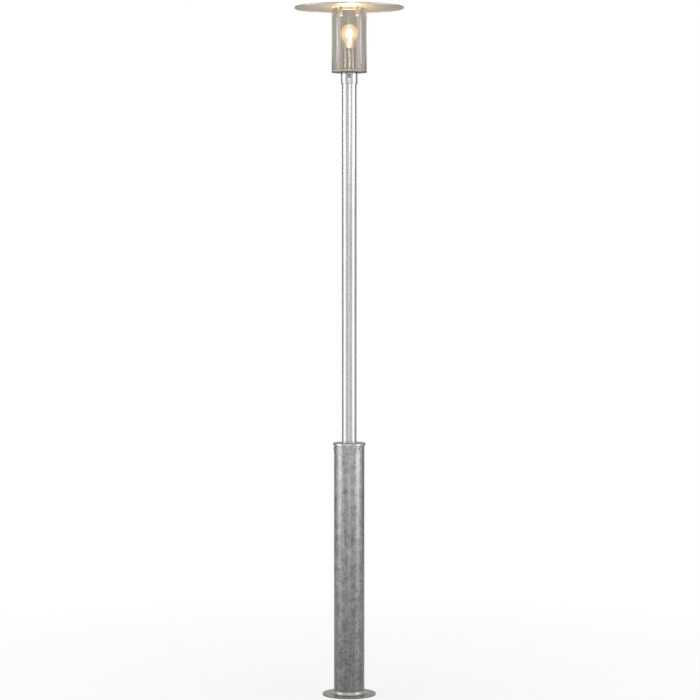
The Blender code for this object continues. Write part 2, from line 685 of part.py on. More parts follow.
def make_collar():
    """Collar of the lantern on the pole's top, with its hex clamp bolt at the front."""
    bore = pole_radius + SEAT_GAP
    rim = bore + COLLAR_WALL
    top = plate_underside - SEAT_GAP
    low = top - COLLAR_LENGTH
    profile = [(bore, top), (rim, top), (rim, low + COLLAR_EDGE), (rim - COLLAR_EDGE, low), (bore, low)]
    collar = turned("head_collar", profile, "bright_zinc")
    shank = CLAMP_BOLT_DIAMETER / 2
    place = outward(-90.0, rim + SEAT_GAP, plate_underside - CLAMP_BOLT_DROP)
    length = rim - pole_radius
    hole = prism("clamp_bolt_hole", shank + THREAD_CLEARANCE, -2 * length, length)
    hole.matrix_world = place
    boolean(collar, hole, 'DIFFERENCE')
    bolt = prism("clamp_bolt", CLAMP_BOLT_ACROSS_CORNERS / 2, 0.0, CLAMP_BOLT_HEAD_HEIGHT, "bright_zinc", HEX)
    bolt_shank = prism("clamp_bolt_shank", shank, -length, CLAMP_BOLT_HEAD_HEIGHT / 2)
    for piece in (bolt, bolt_shank):
        piece.matrix_world = place
    boolean(bolt, bolt_shank, 'UNION')


def make_base_plate():
    """Lantern base plate with its grommet, and the dish screwed on it."""
    hole = PLATE_HOLE_DIAMETER / 2
    plate_rim = glass_radius + PLATE_MARGIN
    plate = turned("head_plate", ring(hole, plate_rim, plate_underside, plate_top), "galvanised")
    cable_bore = LAMP_CABLE_DIAMETER + 2 * LAMP_CABLE_SLACK
    top_hat_grommet("plate_grommet", PLATE_HOLE_DIAMETER, cable_bore, plate_underside, plate_top)
    rim = DISH_DIAMETER / 2
    inner = rim - DISH_SHEET
    cable_way = cable_radius + LAMP_CABLE_SLACK
    ceiling = dish_top - DISH_SHEET
    profile = [(cable_way, dish_top), (inner, dish_top), (rim, ceiling), (rim, dish_foot),
               (inner, dish_foot), (inner, ceiling), (cable_way, ceiling)]
    dish = turned("holder_dish", profile, "stainless")
    for side, sign in (("left", -1), ("right", 1)):
        place = (sign * DISH_SCREW_CIRCLE / 2, 0.0, 0.0)
        way = prism(f"dish_screw_way_{side}", DISH_SCREW_DIAMETER / 2 + THREAD_CLEARANCE,
                    plate_underside - PLATE_THICKNESS, dish_top + DISH_HEIGHT)
        way.location = place
        boolean(plate, way, 'DIFFERENCE')
        boolean(dish, way, 'DIFFERENCE')
        screw = pan_screw(f"dish_screw_{side}", DISH_SCREW_HEAD_DIAMETER, DISH_SCREW_HEAD_HEIGHT,
                          DISH_SCREW_DIAMETER, dish_top - plate_underside, "bright_zinc")
        screw.location = (place[0], 0.0, dish_top + SEAT_GAP)


def gasket_profile(low):
    """Flat gasket that covers the glass's end face."""
    return ring(glass_bore - GASKET_OVERHANG, glass_radius + GASKET_OVERHANG, low, low + GASKET_THICKNESS)


def make_glass():
    """Smoked cylinder on its lower gasket."""
    turned("glass_gasket", gasket_profile(plate_top + SEAT_GAP), "clear_silicone")
    turned("glass_cylinder", ring(glass_bore, glass_radius, glass_foot, glass_top), "smoked_acrylic")


def make_lamp_holder():
    """Ceramic holder in its steel sleeve, with the threaded shell and the centre contact."""
    shell_bore = BULB_CAP_DIAMETER / 2 + BULB_THREAD_GAP
    shell = shell_bore + SHELL_WALL
    socket = shell + SEAT_GAP
    body = socket + HOLDER_WALL
    sleeve_bore = body + HOLDER_SLEEVE_GAP
    sleeve = ring(sleeve_bore, sleeve_bore + SLEEVE_WALL, holder_foot, holder_foot + SLEEVE_LENGTH)
    turned("holder_sleeve", sleeve, "stainless")
    way = cable_radius + LAMP_CABLE_SLACK
    ceiling = holder_foot + HOLDER_CABLE_HOLE_DEPTH
    profile = [(0.0, socket_floor), (socket, socket_floor), (socket, socket_top), (body, socket_top),
               (body, holder_foot), (way, holder_foot), (way, ceiling), (0.0, ceiling)]
    turned("lampholder_body", profile, "ceramic", ROUND_SMALL)
    turned("lampholder_shell", ring(shell_bore, shell, socket_floor + SEAT_GAP, socket_top - SHELL_SHORTFALL),
           "brass", ROUND_SMALL)
    prism("lampholder_contact", CONTACT_DIAMETER / 2, socket_floor + SEAT_GAP, contact_top, "brass")


def bulb_outline():
    """Outer outline of the bulb's glass: a ball that narrows in a smooth curve to a straight neck."""
    radius = BULB_DIAMETER / 2
    middle = bulb_foot + BULB_LENGTH - radius
    neck = BULB_CAP_DIAMETER / 2 - BULB_CAP_WALL - SEAT_GAP
    turn = (BULB_BULGE_END - 90.0) / BULB_BULGE_STEPS
    angles = [math.radians(90.0 + turn * step) for step in range(BULB_BULGE_STEPS + 1)]
    points = [Vector((radius * math.cos(a), middle + radius * math.sin(a))) for a in angles]
    points[0].x = 0.0
    start = points[-1]
    end = Vector((neck, bulb_cap_top))
    reach = (start - end).length / 3
    leaving = Vector((math.sin(angles[-1]), -math.cos(angles[-1])))
    handles = [start, start + leaving * reach, end + Vector((0.0, reach)), end]
    points += bezier(handles, BULB_NECK_POINTS)[1:]
    points.append(Vector((neck, bulb_cap_top - BULB_NECK_DEPTH)))
    return [tuple(p) for p in points]


def make_bulb():
    """Screw-in bulb: glass, cap, eyelet, stem and filament, on its own turning axis."""
    outline = bulb_outline()
    envelope = turned("bulb_envelope", outline, "clear_glass", ROUND_SMALL)
    wall = envelope.modifiers.new("wall", 'SOLIDIFY')
    wall.thickness = BULB_GLASS_WALL
    wall.offset = -1.0
    rim = BULB_CAP_DIAMETER / 2
    inner = rim - BULB_CAP_WALL
    eyelet = EYELET_DIAMETER / 2
    eyelet_stem = EYELET_STEM_DIAMETER / 2
    hole = eyelet_stem + SEAT_GAP
    cap_foot = bulb_foot + BULB_CAP_BASE
    taper_top = cap_foot + BULB_CAP_TAPER
    cap_profile = [(inner, bulb_cap_top), (rim, bulb_cap_top), (rim, taper_top),
                   (eyelet + SEAT_GAP, cap_foot), (hole, cap_foot), (hole, cap_foot + BULB_CAP_BASE),
                   (inner, taper_top + BULB_CAP_BASE)]
    cap = turned("bulb_cap", cap_profile, "brass", ROUND_SMALL)
    head_top = cap_foot - SEAT_GAP
    eyelet_profile = [(0.0, head_top + EYELET_STEM_LENGTH), (eyelet_stem, head_top + EYELET_STEM_LENGTH),
                      (eyelet_stem, head_top), (eyelet, head_top), (eyelet, bulb_foot), (0.0, bulb_foot)]
    contact = turned("bulb_eyelet", eyelet_profile, "brass", ROUND_SMALL)
    neck = outline[-1][0] - BULB_GLASS_WALL
    flare = neck - STEM_FLARE_GAP
    flare_foot = bulb_cap_top - BULB_NECK_DEPTH + SEAT_GAP
    stem_top = bulb_foot + STEM_HEIGHT
    post = STEM_DIAMETER / 2
    stem_profile = [(0.0, stem_top), (post, stem_top), (post, flare_foot + STEM_FLARE_HEIGHT),
                    (flare, flare_foot + BULB_GLASS_WALL), (flare, flare_foot), (0.0, flare_foot)]
    stem = turned("bulb_stem", stem_profile, "clear_glass", ROUND_SMALL)
    filament = tube_along("bulb_filament", filament_points(stem_top), FILAMENT_WIRE_DIAMETER, "hot_wire")
    pivot("bulb_axis", Matrix.Translation((0.0, 0.0, bulb_foot)), [envelope, cap, contact, stem, filament])


def filament_points(stem_top):
    """Wire up from the stem, in strands that climb and fall round the bulb's axis, and back to the stem."""
    base = stem_top + SEAT_GAP + FILAMENT_WIRE_DIAMETER / 2
    points = [(0.0, FILAMENT_FOOT_DISTANCE, base)]
    spread = math.pi / FILAMENT_STRANDS / 2
    for strand in range(FILAMENT_STRANDS):
        angle = 2 * math.pi * (strand + 0.5) / FILAMENT_STRANDS
        ends = [(FILAMENT_LOW_RADIUS, FILAMENT_LOW), (FILAMENT_HIGH_RADIUS, FILAMENT_HIGH)]
        if strand % 2:
            ends.reverse()
        for (radius, rise), turn in zip(ends, (angle - spread, angle + spread)):
            points.append((radius * math.cos(turn), radius * math.sin(turn), base + rise))
    points.append((0.0, -FILAMENT_FOOT_DISTANCE, base))
    return points


def make_hat():
    """Flat hat with its lip, gasket, and the sprung clip plate held by a boss, a screw and a nut."""
    bore = HAT_SCREW_DIAMETER / 2 + THREAD_CLEARANCE
    inner = hat_radius - HAT_SHEET
    lip = hat_seat - HAT_LIP
    hat_top = hat_seat + HAT_SHEET
    profile = [(bore, hat_top), (hat_radius, hat_top), (hat_radius, lip), (inner, lip), (inner, hat_seat),
               (bore, hat_seat)]
    hat = turned("hat", profile, "galvanised")
    gasket = turned("hat_gasket", gasket_profile(glass_top + SEAT_GAP), "clear_silicone")
    plate_high = hat_seat - SEAT_GAP
    plate_low = plate_high - CLIP_SHEET
    clip = make_clip_plate(bore, plate_low, plate_high)
    boss_high = plate_low - SEAT_GAP
    boss_low = boss_high - BOSS_HEIGHT
    recess = boss_low + BOSS_RECESS_DEPTH
    profile = [(bore, boss_high), (BOSS_DIAMETER / 2, boss_high), (BOSS_DIAMETER / 2, boss_low),
               (BOSS_RECESS_DIAMETER / 2, boss_low), (BOSS_RECESS_DIAMETER / 2, recess), (bore, recess)]
    boss = turned("hat_boss", profile, "stainless")
    head_seat = hat_top + SEAT_GAP
    nut_foot = recess - SEAT_GAP - CLIP_NUT_HEIGHT
    screw = pan_screw("hat_screw", HAT_SCREW_HEAD_DIAMETER, HAT_SCREW_HEAD_HEIGHT, HAT_SCREW_DIAMETER,
                      head_seat - nut_foot, "stainless")
    screw.location.z = head_seat
    nut = hex_nut("clip_nut", CLIP_NUT_ACROSS_CORNERS, CLIP_NUT_HEIGHT, bore, "bright_zinc",
                  Matrix.Translation((0.0, 0.0, nut_foot)))
    pivot("hat_axis", Matrix.Translation((0.0, 0.0, hat_seat)), [hat, gasket, clip, boss, screw, nut])


def make_clip_plate(bore, plate_low, plate_high):
    """Spring cup cut into a round plate and tongues that press outwards on the glass."""
    touch = glass_bore - SEAT_GAP
    shoulder = touch - TONGUE_SPRING
    tip = plate_high - TONGUE_LENGTH
    belly = tip + TONGUE_BELLY_HEIGHT
    sheet = CLIP_SHEET
    profile = [(bore, plate_high), (shoulder - TONGUE_BEND, plate_high), (shoulder, plate_high - TONGUE_BEND),
               (touch, belly), (shoulder, tip), (shoulder - sheet, tip), (touch - sheet, belly),
               (shoulder - sheet, plate_low - TONGUE_BEND), (shoulder - TONGUE_BEND - sheet, plate_low),
               (bore, plate_low)]
    clip = turned("clip_plate", profile, "stainless")
    keep = prism("clip_keep", shoulder - TONGUE_ROOT, tip - sheet, plate_high + sheet, sides=ROUND_LARGE)
    bars = TONGUE_COUNT // 2
    for bar in range(bars):
        strip = block(f"tongue_bar_{bar}", (-glass_radius, -TONGUE_WIDTH / 2, tip - 2 * sheet),
                      (glass_radius, TONGUE_WIDTH / 2, plate_high + 2 * sheet))
        strip.rotation_euler.z = math.pi * bar / bars
        boolean(keep, strip, 'UNION')
    boolean(clip, keep, 'INTERSECT')
    return clip


make_flange()
make_column()
make_cap()
make_pole()
make_lock(make_door())
make_board()
make_terminals()
make_lamp_cable()
make_collar()
make_base_plate()
make_glass()
make_lamp_holder()
make_bulb()
make_hat()
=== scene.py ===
import bmesh
import bpy
import numpy as np
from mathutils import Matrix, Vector


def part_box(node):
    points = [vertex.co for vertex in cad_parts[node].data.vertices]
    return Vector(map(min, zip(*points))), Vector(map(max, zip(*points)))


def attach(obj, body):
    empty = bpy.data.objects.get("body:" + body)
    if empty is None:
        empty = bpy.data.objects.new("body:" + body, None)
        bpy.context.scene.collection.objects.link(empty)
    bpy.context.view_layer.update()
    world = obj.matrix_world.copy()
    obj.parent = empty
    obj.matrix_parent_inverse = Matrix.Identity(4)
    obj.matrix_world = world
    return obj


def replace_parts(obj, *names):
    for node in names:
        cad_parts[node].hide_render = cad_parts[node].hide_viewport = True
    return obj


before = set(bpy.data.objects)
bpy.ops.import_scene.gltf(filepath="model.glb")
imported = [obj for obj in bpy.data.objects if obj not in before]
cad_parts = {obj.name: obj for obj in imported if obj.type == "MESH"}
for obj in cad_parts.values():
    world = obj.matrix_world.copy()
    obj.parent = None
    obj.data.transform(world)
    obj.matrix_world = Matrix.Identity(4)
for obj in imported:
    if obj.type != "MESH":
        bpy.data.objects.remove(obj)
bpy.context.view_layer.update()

# Studio: a pale floor in a white surround, a tall soft lamp on each side of the post, a slim one in front and
# small panels level with the lantern. Grey cards behind draw the edges of round metal and show under the hat.
# The camera stands nearly eight metres in front, a little above the post's middle.


class Value:
    """One socket of a node tree. Sums, differences and products of values add Math nodes."""

    def __init__(self, tree, socket=None):
        self.tree = tree
        self.socket = socket

    def fill(self, node, sockets):
        """Sets a node's sockets to numbers or links them to values."""
        for key, value in sockets.items():
            if isinstance(value, Value):
                self.tree.links.new(value.socket, node.inputs[key])
            else:
                node.inputs[key].default_value = value

    def add(self, kind, settings=None, sockets=None, out=0):
        """New node of a type: its settings first, then its sockets."""
        node = self.tree.nodes.new("ShaderNode" + kind)
        for key, value in (settings or {}).items():
            setattr(node, key, value)
        self.fill(node, sockets or {})
        return Value(self.tree, node.outputs[out] if node.outputs else None)

    def math(self, operation, *terms):
        """Math node on values and numbers."""
        return self.add("Math", {"operation": operation}, dict(enumerate(terms)))

    def mix(self, factor, first, second):
        """Colour from the first to the second as the factor goes from nought to one."""
        return self.add("Mix", {"data_type": "RGBA"}, {0: factor, 6: first, 7: second}, out=2)

    def __add__(self, other):
        return self.math("ADD", self, other)

    def __sub__(self, other):
        return self.math("SUBTRACT", self, other)

    def __mul__(self, other):
        return self.math("MULTIPLY", self, other)

    __radd__ = __add__
    __rmul__ = __mul__


def seen(start):
    """One for rays that carry the picture: straight from the camera, mirrored, or through glass."""
    rays = start.add("LightPath").socket.node.outputs
    kinds = [Value(start.tree, rays[f"Is {kind} Ray"]) for kind in ("Camera", "Glossy", "Transmission")]
    return start.math("MAXIMUM", start.math("MAXIMUM", kinds[0], kinds[1]), kinds[2])


def mesh_piece(name, grids, material, crease=40.0):
    """Object made of grids of points, each rows by columns by three. A cell of a grid is one face. Points
    that meet are merged, which closes seams and poles, and the faces are turned outwards."""
    faces = []
    first = 0
    for grid in grids:
        rows, columns = grid.shape[:2]
        number = first + np.arange(rows * columns).reshape(rows, columns)
        cells = [number[:-1, :-1], number[:-1, 1:], number[1:, 1:], number[1:, :-1]]
        faces.append(np.stack(cells, -1).reshape(-1, 4))
        first += rows * columns
    points = np.concatenate([grid.reshape(-1, 3) for grid in grids])
    mesh = bpy.data.meshes.new(name)
    mesh.from_pydata(points.tolist(), [], np.concatenate(faces).tolist())
    bm = bmesh.new()
    bm.from_mesh(mesh)
    bmesh.ops.remove_doubles(bm, verts=bm.verts, dist=2e-6)
    bmesh.ops.recalc_face_normals(bm, faces=bm.faces)
    bm.to_mesh(mesh)
    bm.free()
    mesh.shade_smooth()
    mesh.set_sharp_from_angle(angle=np.radians(crease))
    mesh.materials.append(material)
    piece = bpy.data.objects.new(name, mesh)
    bpy.context.scene.collection.objects.link(piece)
    return piece


def polar(radius, turn, height):
    """Points at a radius, a turn about the post's axis from +X and a height."""
    radius, turn, height = np.broadcast_arrays(radius, turn, height)
    return np.stack([radius * np.cos(turn), radius * np.sin(turn), height], -1)


def turned(profile, columns=144):
    """Grid of a profile of (radius, height) points carried once round the post's axis."""
    profile = np.asarray(profile, float)
    return polar(profile[:, :1], np.linspace(0, 2 * np.pi, columns + 1), profile[:, 1:2])


def new_material(name):
    """Material with a Principled shader, and the value that its node maths starts from."""
    material = bpy.data.materials.new(name)
    material.use_nodes = True
    return material, Value(material.node_tree)


def finish(material, sockets):
    """The material, with its shader's sockets set or linked."""
    Value(material.node_tree).fill(material.node_tree.nodes["Principled BSDF"], sockets)
    return material


def lamp(name, kind, place, color, power, **settings):
    """Lamp that lights the post and shows in its metal, but not in the picture itself."""
    light = bpy.data.lights.new(name, kind)
    light.color = color
    light.energy = power
    for key, value in settings.items():
        setattr(light, key, value)
    holder = bpy.data.objects.new(name, light)
    bpy.context.scene.collection.objects.link(holder)
    holder.location = place
    aim = Vector((0.0, 0.0, float(place[2]))) - holder.location
    if aim.length > 0:
        holder.rotation_euler = aim.to_track_quat("-Z", "Y").to_euler()
    holder.visible_camera = False
    return holder


surround = bpy.data.worlds.new("surround")
bpy.context.scene.world = surround
surround.use_nodes = True
surround.node_tree.nodes.clear()
start = Value(surround.node_tree)
paper_white = (1.0, 1.0, 1.0, 1.0)
ambient = start.add("Background", None, {"Color": paper_white, "Strength": 0.6})
white = start.add("Background", None, {"Color": paper_white, "Strength": 1.0})
either = start.add("MixShader", None, {0: seen(start), 1: ambient, 2: white})
start.add("OutputWorld", None, {"Surface": either})

floor_level = -0.0004
floor_radius = 60.0
shadow_near = 0.2
shadow_far = 2.2
near_glow = 0.78
floor_material, start = new_material("pale_floor")
start.tree.nodes.remove(start.tree.nodes["Principled BSDF"])
matt = start.add("BsdfDiffuse", None, {"Color": (0.9, 0.9, 0.9, 1.0)})
glow = start.add("Emission", None, {"Color": paper_white, "Strength": 1.0})
away = start.add("VectorMath", {"operation": "LENGTH"}, {0: start.add("TexCoord", out="Object")}, out="Value")
share = start.add("MapRange", None, {"Value": away, "From Min": shadow_near, "From Max": shadow_far,
                                     "To Min": near_glow, "To Max": 1.0})
either = start.add("MixShader", None, {0: share * seen(start), 1: matt, 2: glow})
start.fill(start.tree.nodes["Material Output"], {"Surface": either})
floor_profile = [(0.0, floor_level), (3.0, floor_level), (floor_radius, floor_level)]
floor = mesh_piece("floor", [turned(floor_profile, 64)], floor_material)

card_distance = 3.0
card_half = 0.85
card_top = 3.4
for side, turn, grey, foot in (("left", 140.0, 0.42, 0.0), ("middle", 90.0, 0.34, 1.2),
                               ("right", 40.0, 0.27, 0.0)):
    card_material, start = new_material(side + "_card_grey")
    finish(card_material, {"Base Color": (grey, grey, grey, 1.0), "Roughness": 1.0})
    middle = polar(card_distance, np.radians(turn), 0.0)
    along = polar(card_half, np.radians(turn + 90.0), 0.0)
    across = np.array([-1.0, 1.0])[:, None, None] * along
    upright = np.array([[0.0, 0.0, foot], [0.0, 0.0, card_top]])
    card = mesh_piece("dark_card_" + side, [middle + across + upright], card_material)
    card.visible_camera = False
    card.visible_diffuse = False
    card.visible_transmission = False
    card.visible_shadow = False

lamp_distance = 3.2
for name, turn, level, width, height, power, tint in (
        ("left_strip", -74.0, 1.4, 1.7, 3.0, 29.0, 0.98), ("right_strip", 66.0, 1.4, 1.7, 3.0, 28.0, 0.93),
        ("front_strip", -4.0, 1.3, 0.25, 2.8, 5.0, 0.98), ("left_panel", -87.0, 2.36, 0.25, 0.7, 4.6, 0.98),
        ("right_panel", 84.0, 2.36, 0.32, 0.7, 4.6, 0.96), ("front_panel", 10.0, 2.46, 0.4, 0.25, 6.0, 0.90)):
    stand = polar(lamp_distance, np.radians(turn - 90.0), level)
    color = (1.0, 0.5 + 0.5 * tint, tint)
    lamp(name, "AREA", stand, color, power, shape="RECTANGLE", size=width, size_y=height)

camera_side = 0.0026
camera_aim = Vector((camera_side, 0.0, 1.1323))
camera = bpy.data.objects.new("camera", bpy.data.cameras.new("camera"))
bpy.context.scene.collection.objects.link(camera)
camera.location = (camera_side, -7.8, 1.5)
camera.rotation_euler = (camera_aim - camera.location).to_track_quat("-Z", "Y").to_euler()
camera.data.lens = 123.07
bpy.context.scene.camera = camera
bpy.context.scene.view_settings.view_transform = "Standard"


# Foot flange: a round plate of galvanised steel with three holes for ground bolts and one for the supply
# cable. The column stands on it inside a run of fillet weld, laid in small ripples. The weld keeps the
# lighter zinc while the plate is painted darker, a painted highlight on the weld.


def soften(corners, steps=6):
    """Outline through corners (x, y, rounding). Each corner becomes the parabola that begins and ends one
    rounding away along its two sides: corner + back (1 - t)^2 + ahead t^2."""
    corners = np.asarray(corners, float)
    place = corners[:, None, :2]
    back = np.roll(corners, 1, 0)[:, :2] - corners[:, :2]
    ahead = np.roll(corners, -1, 0)[:, :2] - corners[:, :2]
    back = back / np.linalg.norm(back, axis=1, keepdims=True) * corners[:, 2:]
    ahead = ahead / np.linalg.norm(ahead, axis=1, keepdims=True) * corners[:, 2:]
    t = np.linspace(0.0, 1.0, steps)[None, :, None]
    return (place + back[:, None] * (1 - t) ** 2 + ahead[:, None] * t ** 2).reshape(-1, 2)


def closed(profile):
    """The outline, brought back to its first point."""
    return np.vstack([profile, profile[:1]])


def noise(place, scale, detail, roughness=0.5):
    """Cloudy noise round one half: the scale is how many clouds a metre, the detail how many finer layers are
    laid over them, and the roughness how strong each of those is."""
    return place.add("TexNoise", None, {"Vector": place, "Scale": scale, "Detail": detail,
                                        "Roughness": roughness})


def stretched(place, factors):
    """The place, multiplied by a factor along each axis."""
    return place.add("VectorMath", {"operation": "MULTIPLY"}, {0: place, 1: factors})


def dented(strength, distance, height):
    """Normal of a surface that a height raises by up to a distance, at a strength from nought to one."""
    return height.add("Bump", None, {"Strength": strength, "Distance": distance, "Height": height})


def zinc(name, light, dark, rough, crystals=0.5, clouds=0.9, runs=0.7, outward=False, ground_dulling_and_weld_highlight=None,
         relief=0.25, bare=1.0, sheen=1.0, gloss=0.5):
    """Hot-dip galvanised steel. Its tone goes from dark to light with the zinc's crystals, which are
    Voronoi cells bent by noise, with clouds of duller metal, and with runs down the piece or outward from
    the post's axis. Where a darkening range gives a low and a high level and a tint, the metal takes the tint
    below them: on the column that is dulling near the ground, and on the flange it darkens the plate under
    the lighter weld, a painted highlight on the weld. The relief is how deep the bump is, bare how metallic,
    sheen how bright the metal is at a flat glance, and gloss how much its non-metal share mirrors."""
    material, start = new_material(name)
    place = start.add("TexCoord", out="Object")
    wander = start.add("TexNoise", None, {"Vector": place, "Scale": 70.0, "Detail": 3.0}, out="Color")
    bent = start.add("VectorMath", {"operation": "MULTIPLY_ADD"}, {0: wander, 1: (0.014,) * 3, 2: place})
    cell = start.add("TexVoronoi", None, {"Vector": bent, "Scale": 110.0}, out="Color")
    crystal = start.add("SeparateColor", None, {0: cell})
    cloud = noise(place, 22.0, 8.0, 0.66)
    if outward:
        flat = stretched(place, (1.0, 1.0, 0.0))
        way = start.add("VectorMath", {"operation": "NORMALIZE"}, {0: flat})
        drawn = start.add("VectorMath", {"operation": "MULTIPLY_ADD"}, {0: way, 1: (11.0,) * 3, 2: flat})
    else:
        drawn = stretched(place, (190.0, 190.0, 5.0))
    run = noise(drawn, 1.0, 5.0)
    fine = noise(place, 420.0, 3.0)
    tone = crystals * (crystal - 0.5) + clouds * (cloud - 0.5) + runs * (run - 0.5) + 0.3 * (fine - 0.5) + 0.5
    color = start.mix(tone, (*dark, 1.0), (*light, 1.0))
    # Darker below a height: dulling near the ground on the column; on the flange, the plate darkened under
    # the lighter weld as a painted highlight.
    if ground_dulling_and_weld_highlight:
        height = start.add("SeparateXYZ", None, {0: place}, out="Z")
        low = start.add("MapRange", {"interpolation_type": "SMOOTHSTEP"},
                        {"Value": height, "From Min": ground_dulling_and_weld_highlight[1], "From Max": ground_dulling_and_weld_highlight[0]})
        color = start.add("Mix", {"data_type": "RGBA", "blend_type": "MULTIPLY"},
                          {0: low, 6: color, 7: (*ground_dulling_and_weld_highlight[2], 1.0)}, out=2)
    dull = dented(relief, 0.0006, 0.6 * cloud + 0.3 * run + 0.12 * crystal + 0.1 * fine)
    roughness = rough + 0.22 * clouds * (cloud - 0.5) + 0.12 * crystals * (crystal - 0.5)
    return finish(material, {"Base Color": color, "Roughness": roughness, "Metallic": bare, "Normal": dull,
                             "Specular Tint": (sheen, sheen, sheen, 1.0), "Specular IOR Level": gloss})


plate_top = 0.005
seat_gap = 0.0003
cable_hole = 0.013
patch_turn = 10.0
bolt_circle = 0.063
bolt_hole = 0.0055
ring_low = 0.0568
ring_high = 0.0750
weld_foot = 0.0563
column_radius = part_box("column_tube")[1].x
weld_start = column_radius + seat_gap
flange_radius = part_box("base_flange")[1].x
weld_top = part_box("base_flange")[1].z
around = np.radians(np.linspace(-40.0, 320.0, 289))
levels = np.linspace(ring_low, ring_high, 9)


def bolt_hole_patch(turn):
    """Plate round one bolt hole, both faces and the hole's wall: the outline of a block of the plate, bounded
    by two radii and two turns, is drawn in straight to the hole's rounded lip and through it."""
    span = np.radians(np.linspace(turn - patch_turn, turn + patch_turn, 17))
    turns = np.concatenate([span[:-1], np.full(8, span[-1]), span[:0:-1], np.full(9, span[0])])
    radii = np.concatenate([np.full(16, ring_low), levels[:-1], np.full(16, ring_high), levels[::-1]])
    edge = polar(radii, turns, 0.0)
    middle = polar(bolt_circle, np.radians(turn), 0.0)
    out = (edge - middle) / np.linalg.norm(edge - middle, axis=1, keepdims=True)
    quarter = np.linspace(0.0, np.pi / 2, 5)
    lip = 0.0007
    radius = bolt_hole + lip * (1 - np.sin(quarter))
    down = lip * (1 - np.cos(quarter))
    level = (plate_top - down)[:, None, None] * np.array([0.0, 0.0, 1.0])
    upper = middle + radius[:, None, None] * out + level
    lower = upper[::-1] * (1, 1, -1) + np.array([0, 0, plate_top])
    return np.concatenate([[edge + (0, 0, plate_top)], upper, lower, [edge]])


def weld_bead(inner, width, low, height, ripples):
    """Fillet of weld round the post's axis: out = width (1 - cos t) and up = height (1 - sin t), swollen and
    drawn in by the ripples of the torch, which are a twentieth of it and not quite even."""
    t = np.linspace(0.0, np.pi / 2, 9)[:, None]
    ripple = 1 + 0.05 * np.sin(2 * t) * np.cos(ripples * around + 0.6 * np.sin(5 * around))
    return polar(inner + width * (1 - np.cos(t)) * ripple, around, low + height * (1 - np.sin(t)) * ripple)


# Painted highlight: the plate is multiplied by this tone, so the weld above it keeps a lighter colour that
# stands for its bright highlights.
painted_weld_highlight_plate_tone = (0.50, 0.505, 0.493)
flange_zinc = zinc("flange_zinc", (0.56, 0.555, 0.515), (0.31, 0.308, 0.283), 0.27, crystals=0.35, runs=0.2,
                   ground_dulling_and_weld_highlight=(plate_top + 0.0002, plate_top + 0.0012, painted_weld_highlight_plate_tone), relief=0.12, bare=0.6,
                   sheen=0.7)
rim = soften([(ring_high, plate_top, 0.0), (flange_radius, plate_top, 0.0011),
              (flange_radius, 0.0, 0.0006), (ring_high, 0.0, 0.0)])
under = soften([(ring_low, 0.0, 0.0), (cable_hole, 0.0, 0.0006), (cable_hole, plate_top, 0.0006),
                (weld_start, plate_top, 0.0)])
grids = [polar(rim[:, :1], around, rim[:, 1:]), polar(under[:, :1], around, under[:, 1:]),
         weld_bead(weld_start, weld_foot - weld_start, plate_top, weld_top - plate_top, ripples=48),
         polar(np.array([[weld_start]] * 2), around, np.array([[plate_top], [weld_top]])),
         polar(np.array([[weld_foot], [ring_low]]), around, plate_top)]
for turn in (-30.0, 90.0, 210.0):
    between = np.radians(np.linspace(turn + patch_turn, turn + 120.0 - patch_turn, 81))
    grids += [bolt_hole_patch(turn)]
    grids += [polar(levels[:, None], between, height) for height in (0.0, plate_top)]
flange = mesh_piece("foot_flange", grids, flange_zinc)
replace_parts(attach(flange, "post"), "base_flange")


# Cable grommet: a moulded bush of black rubber pressed into the flange's cable hole. Its soft lip keeps the
# supply cable off the steel.


def bush(bore, body, lip, low, sheet, top):
    """Closed profile of a bush with a body through a sheet and a lip on the sheet's upper face."""
    return closed(soften([(bore, top, 0.0007), (lip, top, 0.0008), (lip, sheet, 0.0004), (body, sheet, 0.0),
                          (body, low, 0.0005), (bore, low, 0.0005)]))


black_rubber, start = new_material("black_rubber_bush")
place = start.add("TexCoord", out="Object")
grain = noise(place, 1800.0, 2.0)
dust = noise(place, 90.0, 5.0)
dusty = start.mix(1.6 * (dust - 0.5) + 0.4, (0.012, 0.012, 0.013, 1.0), (0.055, 0.053, 0.05, 1.0))
bump = dented(0.3, 0.0002, grain)
finish(black_rubber, {"Base Color": dusty, "Normal": bump,
                      "Roughness": 0.6 + 0.3 * (dust - 0.5) + 0.15 * (grain - 0.5)})
low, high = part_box("cable_grommet")
profile = bush(bore=0.008, body=cable_hole - seat_gap, lip=high.x, low=low.z, sheet=plate_top + seat_gap,
               top=high.z)
grommet = mesh_piece("flange_bush", [turned(profile, 72)], black_rubber)
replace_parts(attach(grommet, "post"), "cable_grommet")


# Column: the wide lower tube of galvanised steel, dulled towards the ground, with a doorway cut in its rear
# wall. Its edge is broken all round the doorway, so that the flush door does not catch.


def crowded(count):
    """Shares from nought to one that lie closer together at both ends: t - 0.88 sin(2 pi t) / (2 pi)."""
    t = np.linspace(0.0, 1.0, count + 1)
    return t - 0.88 * np.sin(2 * np.pi * t) / (2 * np.pi)


def rectangle(half, low, high, corner, across=24, up=40):
    """Closed outline of a rectangle from -half to half and low to high with round corners. A point of the
    square outline is pulled in to the corner's distance from the inner rectangle that the corners leave."""
    u = half * (2 * crowded(across) - 1)
    v = low + (high - low) * crowded(up)
    square = np.concatenate([np.stack([u[:-1], np.full(across, low)], -1),
                             np.stack([np.full(up, half), v[:-1]], -1),
                             np.stack([u[:0:-1], np.full(across, high)], -1),
                             np.stack([np.full(up + 1, -half), v[::-1]], -1)])
    corner = max(min(corner, half, (high - low) / 2), 1e-9)
    core = np.clip(square, (-half + corner, low + corner), (half - corner, high - corner))
    out = square - core
    return core + corner * out / np.linalg.norm(out, axis=1, keepdims=True)


